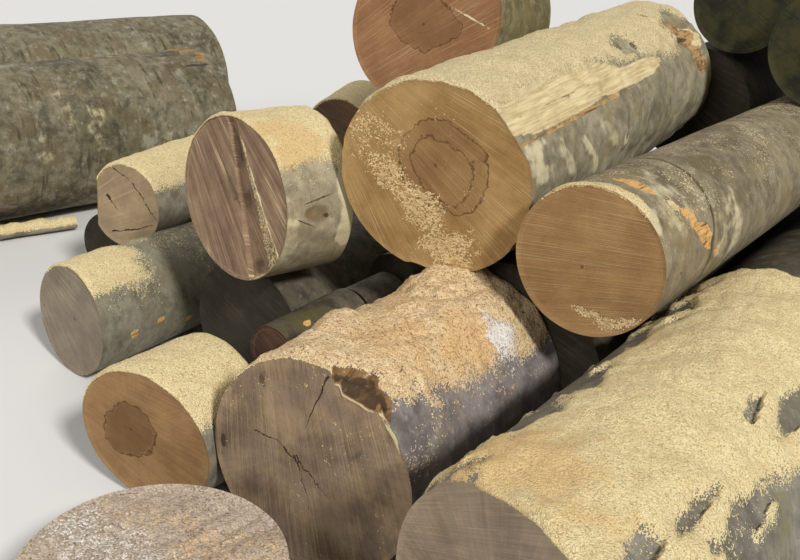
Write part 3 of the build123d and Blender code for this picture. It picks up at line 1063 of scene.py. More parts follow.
    def sawn(self, rim: np.ndarray, rings: int, near: bool) -> tuple[np.ndarray, Marks]:
        """A sawn end: rings drawn in from the rim to its middle, raised by saw ridges.

        The ridges are noise along arcs round the pivot of the saw, and fade at the rim.
        The end that shows has the heart and the patches. It is the near end of a log that
        lies and the far end, on top, of one that stands.

        Args:
            rim: Points of the rim.
            rings: How many rings lie inside the rim.
            near: Whether this is the near end.

        Returns:
            Points by ring and turn, with the middle as a last ring, and the attributes there.
        """
        middle = self.place if near else self.place + self.length * self.axis
        normal = self.near_normal if near else self.axis
        share = np.linspace(0.0, 1.0, rings + 1)[1:, None, None]
        points = rim[None] * (1.0 - share) + middle * share
        rel = points - self.place
        x, y = rel @ self.level, rel @ self.up
        rough = self.uneven(Uneven.END_EDGES, points)
        pivot = (self.end if near else self.far_end).pivot
        from_x, from_y = x - pivot[0], y - pivot[1]
        swing = np.arctan2(from_y, np.abs(from_x)) * math.hypot(*pivot)
        lane = np.stack([swing * 8.0, np.hypot(from_x, from_y) * 0.5, 0.0 * x], axis=-1)
        ridge = self.uneven(Uneven.RIDGES, lane)
        shows = near != self.upright
        lift = (self.ridges if shows else PLAIN_RIDGES) * (ridge - 0.4)
        lift = lift + 0.0025 * (self.uneven(Uneven.BOW, points) - 1.0)
        marks = plain_marks(x.shape)
        fray = self.uneven(Uneven.END_DUST, points)
        marks["dust"] = np.clip(self.end_dust * (1.0 + fray), 0.0, 1.0)
        marks["rim"] = np.linalg.norm(points - rim[None], axis=-1)
        if shows and self.heart:
            marks["heart"], marks["line"] = self.heart.marks(x, y)
        for patch in self.end_patches if shows else ():
            cover = patch.cover(x - patch.place[0], y - patch.place[1], rough)
            lift = lift + patch.lift * cover * (1.0 + 0.6 * rough)
            patch.lay(marks, cover)
        if near:
            lift = lift + self.carve(x, y, ridge, marks)
        lift = lift * smooth(marks["rim"], 0.0, 0.010)
        return points + lift[..., None] * normal, marks

    def carve(self, x: np.ndarray, y: np.ndarray, ridge: np.ndarray, marks: Marks) -> np.ndarray:
        """Height that the log's own cuts add to its near end. A plain log has none.

        Args:
            x: Place to the right on the end, in metres.
            y: Place up on the end.
            ridge: Noise of the saw ridges there.
            marks: The attributes there, which the cuts may change.

        Returns:
            The height of each point in metres.
        """
        return np.zeros(x.shape)


@dataclass
class SteppedRound(Stem):
    """A round whose near face has a recess, where a second cut met the first.

    Each edge of the recess is a line, by its distance from the middle and the turn of its
    square. The floor drops at the first edge and comes back up towards the second, along
    which a crest stands up to its top. Both edges are eased over their blend. The deep part
    of the floor is painted darker, as shade in the recess.
    """

    edge: Pair = (0.022, 13.6)
    far_edge: Pair = (0.115, 28.8)
    depth: float = 0.014
    blend: float = 0.004
    crest_height: float = 0.004
    crest_width: float = 0.006
    crest_top: Pair = (0.16, 0.22)
    rough_height: float = 0.004

    def carve(self, x: np.ndarray, y: np.ndarray, ridge: np.ndarray, marks: Marks) -> np.ndarray:
        """Sinks the recess, and raises the crest and lays the dust along its second edge."""
        first, last = (
            x * math.cos(math.radians(turn)) + y * math.sin(math.radians(turn)) - gap
            for gap, turn in (self.edge, self.far_edge)
        )
        span = np.maximum(first - last, 0.001)
        across = np.clip(first / span, 0.0, 1.0)
        floor = -self.depth * (1.0 - smooth(across, 0.42, 1.0) * 0.8)
        inside = smooth(first, 0.0, self.blend) * (1.0 - smooth(last, -self.blend, 0.0))
        crest = np.exp(-((last / self.crest_width) ** 2)) * (1.0 - smooth(y, *self.crest_top))
        # Painted shade: the deep part of the recess is darkened through the dark attribute, as the shade
        # that falls in it.
        shadow = 0.46 * inside * (1.0 - smooth(across, 0.35, 0.6))
        marks["dark"] = np.maximum(marks["dark"], shadow)
        marks["bare"] = np.maximum(marks["bare"], crest * 0.75)
        slope = inside * smooth(across, 0.45, 0.6)
        marks["dust"] = np.maximum(marks["dust"], slope * 0.5)
        rough_share = 1.0 - inside * (1.0 - smooth(across, 0.4, 0.6))
        height = floor * inside + crest * self.crest_height
        return height + self.rough_height * ridge * rough_share


@dataclass
class ShavedStem(Stem):
    """A stem with a strip of bark and wood shaved flat along its side.

    The strip runs out from a station before its length to one past it.
    """

    shaved_turn: float = 33.0
    shaved_depth: float = 0.007
    shaved_length: float = 0.98
    before: float = 0.06
    past: float = 0.02

    def cut_side(self, station: np.ndarray, grid: np.ndarray, marks: Marks) -> np.ndarray:
        """Brings the side in to a flat at a distance from the axis, up to a station."""
        reach = self.radius_at(station)
        off = turns_from(grid, self.shaved_turn)
        flat = (self.diameter / 2.0 - self.shaved_depth) / np.maximum(np.cos(np.radians(off)), 0.2)
        drop = np.minimum(flat - reach, 0.0) * (np.abs(off) < 90.0)
        start, stop = self.shaved_length - self.before, self.shaved_length + self.past
        return drop * (1.0 - smooth(station, start, stop))


@dataclass
class ScoredStem(Stem):
    """A stem with a shallow saw cut round it, which leans along the log."""

    score_station: float = 0.298
    score_lean: float = 10.7
    score_half: float = 0.0055
    score_depth: float = 0.008
    close_span: float = 0.058
    close_rows: int = 43

    def rows(self) -> np.ndarray:
        """The plain rows, and closer ones as far from the score as it leans."""
        close = np.linspace(-self.close_span, self.close_span, self.close_rows)
        near = (self.score_station + close) / self.length
        return np.unique(np.concatenate([super().rows(), near]))

    def score_gap(self, station: np.ndarray, grid: np.ndarray) -> np.ndarray:
        """Distance along the log from the middle of the cut."""
        lean = math.tan(math.radians(self.score_lean)) * self.diameter / 2.0
        return station - self.score_station - lean * np.sin(np.radians(grid))

    def cut_side(self, station: np.ndarray, grid: np.ndarray, marks: Marks) -> np.ndarray:
        """Sinks the groove, which is deepest in its middle."""
        gap = np.abs(marks["score"])
        groove = 1.0 - smooth(gap, self.score_half * 0.5, self.score_half * 1.3)
        return -self.score_depth * groove


@dataclass
class SplitLog(Stem):
    """A log that split along its left side.

    Split is the distance of the split face from the axis. The face has waves along the log,
    each by its height, its radians a metre and where it starts.
    """

    split: float = 0.124
    waves: tuple[tuple[float, float, float], ...] = ((0.004, 31.0, 0.0), (0.003, 71.0, 1.0))

    def trim_rim(self, points: np.ndarray) -> np.ndarray:
        """Leaves out what the split took away."""
        return points[(points - self.place) @ self.level > -self.split]

    def cut_side(self, station: np.ndarray, grid: np.ndarray, marks: Marks) -> np.ndarray:
        """Brings the left side in to the split, whose face is torn wood."""
        reach = self.radius_at(station)
        left = -np.cos(np.radians(grid))
        wave = sum(high * np.sin(station * rate + start) for high, rate, start in self.waves)
        flat = (self.split + wave) / np.maximum(left, 0.05)
        drop = np.minimum(flat - reach, 0.0)
        marks["torn"] = np.maximum(marks["torn"], smooth(-drop, 0.004, 0.012) * 0.8)
        marks["dust"] = marks["dust"] * (1.0 - smooth(-drop, 0.002, 0.008))
        return drop


@dataclass
class TornLog(Stem):
    """A log with a piece torn out of the upper rim of its near end."""

    torn_turn: float = 62.0
    torn_half: float = 0.085
    torn_depth: float = 0.040
    torn_length: float = 0.062
    lip_height: float = 0.004

    def round_from_notch(self, turns: np.ndarray) -> np.ndarray:
        """Distance round the log from the middle of the notch."""
        return (turns - self.torn_turn) * math.radians(1.0) * self.diameter / 2.0

    def cut_side(self, station: np.ndarray, grid: np.ndarray, marks: Marks) -> np.ndarray:
        """Sinks a ragged notch that is deepest at the rim and shallow at its back."""
        around = self.round_from_notch(grid)
        fray = self.uneven(Uneven.NOTCH, np.stack([station, around, 0.0 * around], -1))
        shape = np.abs(around) / self.torn_half + 0.25 * fray
        start = self.stations(grid, 0.0)
        back = (station - start) / (self.torn_length * (1.0 + 0.3 * fray))
        deep = self.torn_depth * (0.55 + 0.45 * smooth(around, -self.torn_half, self.torn_half))
        bite = (1.0 - smooth(shape, 0.45, 1.0)) * (1.0 - smooth(back, 0.45, 1.0))
        marks["torn"] = np.maximum(marks["torn"], smooth(bite, 0.15, 0.4))
        # Painted shade: the notch is darker where it bites deepest, through the dark attribute.
        marks["dark"] = np.maximum(marks["dark"], smooth(bite, 0.2, 0.7) * 0.62)
        marks["dust"] = marks["dust"] * (1.0 - smooth(bite, 0.1, 0.4))
        return -deep * bite

    def carve(self, x: np.ndarray, y: np.ndarray, ridge: np.ndarray, marks: Marks) -> np.ndarray:
        """A splintered pale lip that stands along the front of the notch."""
        around = self.round_from_notch(np.degrees(np.arctan2(y, x)))
        window = 1.0 - smooth(around, self.torn_half * 0.7, self.torn_half)
        window = window * (1.0 - smooth(-around, self.torn_half * 1.6, self.torn_half * 2.1))
        lip = window * (1.0 - smooth(marks["rim"] + 0.004 * ridge, 0.006, 0.012))
        marks["bare"] = np.maximum(marks["bare"], lip)
        return self.lip_height * lip


# Orders of a quad's corners in which the side, the near end and the far end face outwards.
FACING = ((0, 1, 2, 3), (0, 3, 2, 1), (1, 2, 3, 0))


class Skin:
    """The mesh of one log: rows along its side, then rings across its near and far ends."""

    def __init__(self, name: str, side: np.ndarray, near: np.ndarray, far: np.ndarray) -> None:
        """Keeps the points of all rows and rings.

        Args:
            name: Name of the piece.
            side: Points by row and turn.
            near: Points of the near end by ring and turn. The last ring is its middle.
            far: The same for the far end.
        """
        self.name = name
        self.around = side.shape[1]
        self.counts = (len(side), len(near) - 1, len(far) - 1)
        self.points = self.joined(side, near, far)
        self.marks: Marks = {}

    def joined(self, side: np.ndarray, near: np.ndarray, far: np.ndarray) -> np.ndarray:
        """Joins what the side and the two ends hold, with the middles of the ends last."""
        parts = [grid.reshape(-1, *grid.shape[2:]) for grid in (side, near[:-1], far[:-1])]
        return np.concatenate([*parts, near[-1, :1], far[-1, :1]])

    def paint(self, name: str, side: np.ndarray, near: np.ndarray, far: np.ndarray) -> None:
        """Keeps one attribute for all points."""
        self.marks[name] = self.joined(side, near, far)

    def belts(self) -> tuple[np.ndarray, np.ndarray, np.ndarray]:
        """Point numbers of the rows of each part.

        Returns:
            The side's rows, and each end's rings from its rim inwards.
        """
        rows, near, far = self.counts
        numbers = np.arange((rows + near + far) * self.around).reshape(-1, self.around)
        side, near_rings, far_rings = np.split(numbers, [rows, rows + near])
        return (
            side,
            np.concatenate([side[:1], near_rings]),
            np.concatenate([side[-1:], far_rings]),
        )

    def unwrap(self, stem: Stem) -> None:
        """Works out the coordinates of all points on the ends and along the side.

        Args:
            stem: The log, whose directions and place they follow.
        """
        rel = self.points - stem.place
        rows = self.counts[0]
        self.flat = np.stack([rel @ stem.level, rel @ stem.up], axis=-1)
        self.run = (rel @ stem.axis)[: rows * self.around].reshape(rows, self.around)
        self.width = math.pi * stem.diameter / self.around

    def quads(self, rows: np.ndarray) -> np.ndarray:
        """What rows hold at the four corners of each quad between them, the last one closing."""
        after = np.roll(rows, -1, axis=1)
        return np.stack([rows[:-1], after[:-1], after[1:], rows[1:]], axis=-1)

    def side_coordinates(self) -> np.ndarray:
        """Round and along at the corners of the side's quads. Round runs on to the full turn."""
        along = self.quads(self.run)
        turn = self.width * (np.arange(self.around)[:, None] + np.array([0, 1, 1, 0]))
        return np.stack([np.broadcast_to(turn, along.shape), along], axis=-1).reshape(-1, 2)

    def faces(self) -> tuple[list[np.ndarray], list[np.ndarray]]:
        """Joins the points into faces that look outwards.

        Returns:
            Quads of the side, the near end and the far end, and the triangles that close each
            end.
        """
        belts = self.belts()
        quads = [self.quads(rows).reshape(-1, 4)[:, order] for rows, order in zip(belts, FACING)]
        fans = []
        for rows, pole, way in ((belts[1], -2, 1), (belts[2], -1, -1)):
            ring = rows[-1]
            middle = np.full(self.around, len(self.points) + pole)
            fans.append(np.stack([ring, middle, np.roll(ring, -1)], axis=-1)[:, ::way])
        return quads, fans

    def piece(self, materials: tuple[bpy.types.Material, ...]) -> bpy.types.Object:
        """Writes the mesh with its attributes, coordinates and materials.

        Args:
            materials: Those of the side, the near end and the far end.

        Returns:
            The object.
        """
        quads, fans = self.faces()
        four, three = np.concatenate(quads), np.concatenate(fans)
        sizes = np.repeat([4, 3], [len(four), len(three)])
        slots = np.repeat([0, 1, 2, 1, 2], [len(part) for part in (*quads, *fans)])
        loops = np.concatenate([four.ravel(), three.ravel()])
        ends = self.flat[loops[quads[0].size :]]
        mesh = bpy.data.meshes.new(self.name)
        mesh.vertices.add(len(self.points))
        mesh.vertices.foreach_set("co", self.points.astype(np.float32).ravel())
        mesh.loops.add(len(loops))
        mesh.loops.foreach_set("vertex_index", loops.astype(np.int32))
        mesh.polygons.add(len(sizes))
        mesh.polygons.foreach_set("loop_start", (np.cumsum(sizes) - sizes).astype(np.int32))
        mesh.update(calc_edges=True)
        mesh.polygons.foreach_set("material_index", slots.astype(np.int32))
        mesh.polygons.foreach_set("use_smooth", np.ones(len(sizes), dtype=bool))
        layer = mesh.uv_layers.new(name=COORDINATES)
        uv = np.concatenate([self.side_coordinates(), ends]).astype(np.float32)
        layer.data.foreach_set("uv", uv.ravel())
        for name, values in self.marks.items():
            made = mesh.attributes.new(name, "FLOAT", "POINT")
            made.data.foreach_set("value", values.astype(np.float32))
        mesh.set_sharp_from_angle(angle=math.radians(SHARP_ANGLE))
        for material in materials:
            mesh.materials.append(material)
        mesh.validate()
        piece = bpy.data.objects.new(self.name, mesh)
        bpy.context.scene.collection.objects.link(piece)
        return piece


# Painted shade: the ends of the logs that lie in the heap's gaps and behind it are written near black,
# as the deep shade there, with a little grime over it.
DARK_SHADE_END = SawnEnd(
    "dark_shade_end", (72, 64, 50), (50, 44, 35), rim=(46, 41, 32), fibres=0.08, grime=0.6,
    grime_hue=(50, 47, 36),
)
GREY_BARK = Bark("grey_bark", (158, 150, 130), (112, 106, 90), flesh=WOOD_RAW)
# Painted shade: the bark of the logs under and between the others is written dark, as the shade of the
# gaps they fill. Its moss and lichen are its own.
HIDDEN_BARK = Bark(
    "hidden_bark", (100, 93, 76), (64, 58, 46), (76, 66, 48), lichen=0.15, moss=0.35,
    moss_hue=(88, 84, 50),
)
# Painted shade with real moss: the mossy logs at the upper right are olive with moss, and written darker
# than their own bark as the shade they lie in.
DARK_BARK = Bark(
    "dark_bark", (96, 92, 70), (54, 51, 37), (70, 62, 42), lichen=0.25, moss=0.7,
    moss_hue=(84, 84, 44),
)
# Painted shade with real moss and grime: the ends of the mossy logs are written near black olive, as the
# shade over them.
MOSSY_END = SawnEnd(
    "mossy_end", (56, 55, 38), (32, 32, 24), rim=(46, 44, 30), strokes=0.3, fibres=0.03,
    grime=0.8, grime_hue=(74, 70, 38),
)
TRUNK_BARK = Bark(
    "trunk_bark", (134, 125, 100), (82, 75, 57), (98, 84, 56), stained=0.6, lichen=0.4,
    moss=0.4, moss_hue=(96, 92, 54), streaks=0.8, flesh=WOOD_RAW,
)

# Patches of the logs, for the side and for the sawn face that shows.
CENTRE_LOG_SIDE = (
    Patch(Mark.SWEPT, (45.0, 0.36), (0.062, 0.44), ragged=0.3),
    Patch(Mark.SWEPT, (39.0, 0.80), (0.036, 0.30), ragged=0.3),
    Patch(Mark.BARE, (44.5, 0.34), (0.070, 0.44), ragged=0.12),
    Patch(Mark.BARE, (38.0, 0.78), (0.036, 0.30), ragged=0.12),
    Patch(Mark.DARK, (44.0, 0.30), (0.006, 0.30), ragged=0.9, share=0.55),
    Patch(Mark.TORN, (30.0, 0.40), (0.009, 0.50), ragged=0.15, share=0.7),
    Patch(Mark.PALE, (16.0, 0.10), (0.060, 0.06), ragged=0.9, share=0.8),
    Patch(Mark.PALE, (10.0, 0.25), (0.024, 0.090), turn=55.0, lift=0.005, ragged=0.9, share=0.6),
    Patch(Mark.PALE, (6.0, 0.40), (0.022, 0.090), turn=50.0, lift=0.005, ragged=0.9, share=0.75),
    Patch(Mark.PALE, (8.0, 0.55), (0.022, 0.080), turn=45.0, lift=0.004, ragged=0.9, share=0.5),
    Patch(Mark.DARK, (1.0, 0.637), (0.030, 0.032), lift=0.008, ragged=0.3, share=0.45),
    Patch(Mark.PALE, (1.0, 0.637), (0.018, 0.020), ragged=0.3),
    Patch(Mark.DARK, (60.0, 0.827), (0.020, 0.016), lift=0.006, share=0.8),
    Patch(Mark.DARK, (56.0, 0.922), (0.016, 0.014), lift=0.005, share=0.8),
    Patch(Mark.SWEPT, (58.0, 0.87), (0.05, 0.09), share=0.7),
    Patch(Mark.SWEPT, (75.0, 1.203), (0.022, 0.022)),
    Patch(Mark.TORN, (75.0, 1.203), (0.020, 0.018), lift=0.008),
    Patch(Mark.SWEPT, (45.0, 1.37), (0.15, 0.13)),
    Patch(Mark.TORN, (52.0, 1.33), (0.060, 0.10), turn=20.0, lift=-0.014),
    Patch(Mark.TORN, (24.0, 1.38), (0.050, 0.08), turn=40.0, lift=-0.006),
    Patch(Mark.BARE, (44.0, 1.40), (0.050, 0.05), ragged=1.0, share=0.8),
    Patch(Mark.DARK, (48.0, 1.31), (0.018, 0.06), turn=20.0),
)
CENTRE_LOG_FACE = (
    Patch(Mark.DUST, (-0.128, 0.000), (0.048, 0.090), turn=35.0, share=0.57),
    Patch(Mark.DUST, (-0.030, -0.085), (0.062, 0.100), turn=38.0, share=0.62),
    Patch(Mark.DUST, (0.050, -0.180), (0.100, 0.060), turn=15.0, share=0.66),
    Patch(Mark.DUST, (-0.200, 0.100), (0.050, 0.090), turn=-25.0, share=0.42),
    Patch(Mark.DUST, (-0.120, 0.090), (0.090, 0.070), share=0.36),
    Patch(Mark.DARK, (0.104, 0.068), (0.016, 0.008), turn=30.0, share=0.55),
)
RIGHT_LOG_SIDE = (
    Patch(Mark.TORN, (72.0, 0.113), (0.016, 0.060), turn=76.0, ragged=1.3),
    Patch(Mark.BARE, (48.0, 0.155), (0.016, 0.030), turn=58.0),
    Patch(Mark.TORN, (44.0, 0.172), (0.022, 0.048), turn=58.0, ragged=1.3),
    Patch(Mark.TORN, (17.0, 0.247), (0.028, 0.084), turn=45.0, lift=-0.004, ragged=1.2),
    Patch(Mark.BARE, (24.0, 0.225), (0.012, 0.040), turn=45.0),
    Patch(Mark.PALE, (70.0, 0.030), (0.150, 0.022), ragged=0.8, share=0.9),
    Patch(Mark.PALE, (60.0, 0.17), (0.100, 0.10), ragged=0.9, share=0.5),
    Patch(Mark.PALE, (10.0, 0.42), (0.120, 0.10), ragged=0.9, share=0.55),
    Patch(Mark.MOSS, (68.0, 0.46), (0.080, 0.08), ragged=0.9),
    Patch(Mark.MOSS, (80.0, 0.72), (0.110, 0.12), ragged=0.9, share=0.7),
    Patch(Mark.DARK, (8.0, 0.06), (0.008, 0.012), share=0.7),
    Patch(Mark.DARK, (0.0, 0.11), (0.007, 0.010), share=0.7),
)
RIGHT_LOG_FACE = (
    Patch(Mark.DUST, (0.020, -0.128), (0.080, 0.016), turn=-8.0, share=0.62),
    Patch(Mark.DUST, (0.110, -0.128), (0.085, 0.022), turn=16.0, share=0.70),
)
LEFT_ROUND_SIDE = (
    Patch(Mark.WARM, (50.0, 0.11), (0.110, 0.09), ragged=0.8, share=0.8),
    Patch(Mark.MOSS, (3.0, 0.140), (0.034, 0.060), turn=-16.0, ragged=0.6),
    Patch(Mark.MOSS, (-8.0, 0.150), (0.040, 0.030), ragged=0.8, share=0.7),
    Patch(Mark.DARK, (12.0, 0.145), (0.004, 0.060), turn=-12.0, ragged=0.3, share=0.75),
    Patch(Mark.DARK, (-4.0, 0.105), (0.004, 0.045), turn=30.0, ragged=0.4, share=0.7),
    Patch(Mark.DARK, (0.0, 0.165), (0.010, 0.012), ragged=0.8, share=0.6),
    Patch(Mark.RELIEF, (0.0, 0.135), (0.030, 0.040), lift=-0.006),
    Patch(Mark.PALE, (10.0, 0.235), (0.220, 0.025), ragged=0.8, share=0.9),
    Patch(Mark.PALE, (-20.0, 0.05), (0.150, 0.04), ragged=0.9, share=0.6),
)
LEFT_ROUND_FACE = (
    Patch(Mark.BARE, (0.115, -0.200), (0.085, 0.007), turn=32.0, share=0.9),
)


def middle_logs() -> list[Stem]:
    """The long stems of the middle, and what lies on them."""
    return [
        ShavedStem(
            "centre_log", 0.528, 1.470,
            Bark(
                "centre_bark", (160, 150, 122), (118, 110, 86), (136, 120, 80), stained=0.5,
                flesh=(176, 142, 94), dust=SOFT_DUST,
            ),
            SawnEnd(
                "centre_end", (182, 147, 95), (148, 113, 67), (128, 92, 62), heart_share=0.5,
                pith=(0.004, 0.045), pivot=(-0.45, 0.45), strokes=0.45, dust=FACE_DUST,
            ),
            turn=-3.0, tilt=3.4, near_cut=(-10.0, 3.0), cell=0.0065,
            blanket=Blanket(0.014, 0.58, patchy=0.08),
            heart=Heart(
                (0.015, 0.020),
                (
                    (0.127, 0.136, 0.135, 0.143, 0.135, 0.125, 0.109, 0.092, 0.087, 0.092, 0.118, 0.122),
                    (0.089, 0.087, 0.084, 0.092, 0.100, 0.081, 0.066, 0.055, 0.058, 0.068, 0.096, 0.090),
                ),
            ),
            side_patches=CENTRE_LOG_SIDE,
            end_patches=CENTRE_LOG_FACE,
            end_dust=0.12, flutes=0.010, seed=11,
        ),
        ScoredStem(
            "right_log", 0.384, 2.0,
            Bark(
                "right_bark", (146, 133, 106), (104, 93, 72), (122, 106, 68), stained=0.5,
                moss_hue=(92, 80, 52),
            ),
            SawnEnd(
                "right_end", (174, 137, 90), (146, 111, 71),
                pith=(-0.013, -0.014), pivot=(1.2, 0.15), strokes=0.4, fibres=0.3, rings=0.3,
                dust=FACE_DUST,
            ),
            turn=2.0, tilt=0.5, near_cut=(-6.0, -1.0), cell=0.0085,
            blanket=Blanket(0.006, 0.70, stop=0.03, fade=0.05, strewn=0.22),
            side_patches=RIGHT_LOG_SIDE,
            end_patches=RIGHT_LOG_FACE,
            seed=23,
        ),
        Stem(
            "top_round", 0.528, 0.500,
            Bark(
                "top_bark", (140, 131, 94), (98, 90, 62), (116, 104, 58), stained=0.6,
                lichen=0.4, moss=0.3, streaks=0.5,
            ),
            SawnEnd(
                "top_end", (156, 114, 77), (134, 94, 60), (112, 76, 47), heart_share=0.6,
                pith=(0.0, -0.01), pivot=(-1.2, -0.9), strokes=0.3, rays=0.4,
            ),
            turn=-9.0, tilt=-3.0, near_cut=(-3.0, -14.0), cell=0.008,
            heart=Heart(
                (0.010, -0.010),
                (
                    (0.123, 0.090, 0.082, 0.098, 0.120, 0.141, 0.133, 0.100, 0.078, 0.079, 0.077, 0.096),
                ),
            ),
            end_patches=(
                Patch(Mark.BARE, (0.168, 0.022), (0.004, 0.110), turn=69.6, ragged=0.2, share=0.6),
            ),
            seed=83,
        ),
        SteppedRound(
            "left_round", 0.472, 0.250,
            Bark(
                "left_round_bark", (176, 165, 138), (134, 123, 97), (150, 132, 92),
                stained=0.5, moss_hue=(112, 88, 48),
            ),
            SawnEnd(
                "left_round_end", (158, 130, 104), (120, 96, 76), (112, 88, 70),
                pivot=(-0.6, 0.8), strokes=0.9, fibres=0.5,
            ),
            turn=18.0, near_cut=(-11.0, -2.0), cell=0.004,
            blanket=Blanket(0.010, 0.44, patchy=0.25, strewn=0.3),
            side_patches=LEFT_ROUND_SIDE,
            end_patches=LEFT_ROUND_FACE,
            ridges=0.002, seed=71,
        ),
    ]


FRONT_LOG_SIDE = (
    Patch(Mark.SWEPT, (41.0, 0.11), (0.045, 0.11), ragged=0.8),
    Patch(Mark.BARE, (38.0, 0.022), (0.042, 0.013), lift=0.004, ragged=0.3),
    Patch(Mark.DARK, (50.0, 0.181), (0.012, 0.014), lift=0.008, share=0.7),
    Patch(Mark.DARK, (47.0, 0.360), (0.005, 0.070), turn=64.0, lift=-0.006, ragged=0.3, share=0.9),
    Patch(Mark.DARK, (70.0, 0.300), (0.006, 0.060), turn=30.0, lift=-0.006, ragged=0.4, share=0.7),
    Patch(Mark.SNOW, (48.0, 0.515), (0.066, 0.052), turn=-28.0, lift=0.003, ragged=1.1, share=0.8),
    Patch(Mark.WARM, (78.0, 0.22), (0.120, 0.10), ragged=0.9, share=0.6),
    Patch(Mark.WARM, (54.0, 0.38), (0.090, 0.12), ragged=0.9, share=0.8),
    Patch(Mark.RELIEF, (100.0, 0.56), (0.110, 0.12), lift=0.024),
    Patch(Mark.RELIEF, (112.0, 0.22), (0.070, 0.07), lift=0.016),
    Patch(Mark.RELIEF, (66.0, 0.45), (0.060, 0.16), lift=0.012),
)
FRONT_LOG_FACE = (
    Patch(Mark.DARK, (-0.248, -0.013), (0.010, 0.024), share=0.7),
    Patch(Mark.DARK, (0.130, 0.050), (0.030, 0.060), ragged=1.0, share=0.4),
    Patch(Mark.DARK, (-0.130, 0.190), (0.020, 0.030), ragged=1.0, share=0.5),
)
FRONT_RIGHT_LOG_SIDE = (
    Patch(Mark.SWEPT, (55.0, 0.285), (0.024, 0.090), ragged=0.7, share=0.75),
    Patch(Mark.SWEPT, (59.0, 0.105), (0.026, 0.055), ragged=0.7, share=0.75),
    Patch(Mark.SWEPT, (62.0, 0.650), (0.020, 0.080), ragged=1.2, share=0.7),
    Patch(Mark.SWEPT, (51.0, 0.730), (0.036, 0.110), ragged=0.7, share=0.9),
    Patch(Mark.SWEPT, (40.0, 0.39), (0.040, 0.16), ragged=0.7, share=0.75),
    Patch(Mark.SWEPT, (136.0, 0.55), (0.095, 0.60), ragged=1.2, share=0.9),
    Patch(Mark.MOSS, (30.0, 0.48), (0.050, 0.10), ragged=0.9, share=0.9),
    Patch(Mark.MOSS, (36.0, 0.66), (0.040, 0.06), ragged=0.9, share=0.9),
    Patch(Mark.WARM, (110.0, 0.13), (0.180, 0.13), ragged=0.9, share=0.95),
    Patch(Mark.RELIEF, (118.0, 0.13), (0.080, 0.09), lift=0.014),
)
STANDING_ROUND_FACE = (
    Patch(Mark.DUST, (-0.10, 0.05), (0.18, 0.20), ragged=0.6, share=0.9),
    Patch(Mark.WARM, (-0.12, 0.05), (0.15, 0.10), turn=30.0, ragged=1.4, share=0.36),
    Patch(Mark.WARM, (0.06, 0.16), (0.10, 0.05), ragged=1.4, share=0.34),
    Patch(Mark.SNOW, (0.15, 0.08), (0.10, 0.08), turn=20.0, ragged=1.4, share=0.33),
    Patch(Mark.SNOW, (0.02, 0.02), (0.10, 0.05), turn=45.0, ragged=1.4, share=0.28),
    Patch(Mark.RELIEF, (-0.10, 0.10), (0.016, 0.15), turn=42.0, lift=-0.008, ragged=0.9),
    Patch(Mark.RELIEF, (-0.02, 0.14), (0.012, 0.15), turn=36.0, lift=-0.006, ragged=0.9),
    Patch(Mark.RELIEF, (0.08, 0.15), (0.020, 0.10), turn=50.0, lift=0.006, ragged=0.9),
    Patch(Mark.RELIEF, (0.13, 0.07), (0.018, 0.12), turn=40.0, lift=-0.005, ragged=0.9),
    Patch(Mark.RELIEF, (-0.18, 0.06), (0.050, 0.06), turn=40.0, lift=0.007, ragged=0.9),
)


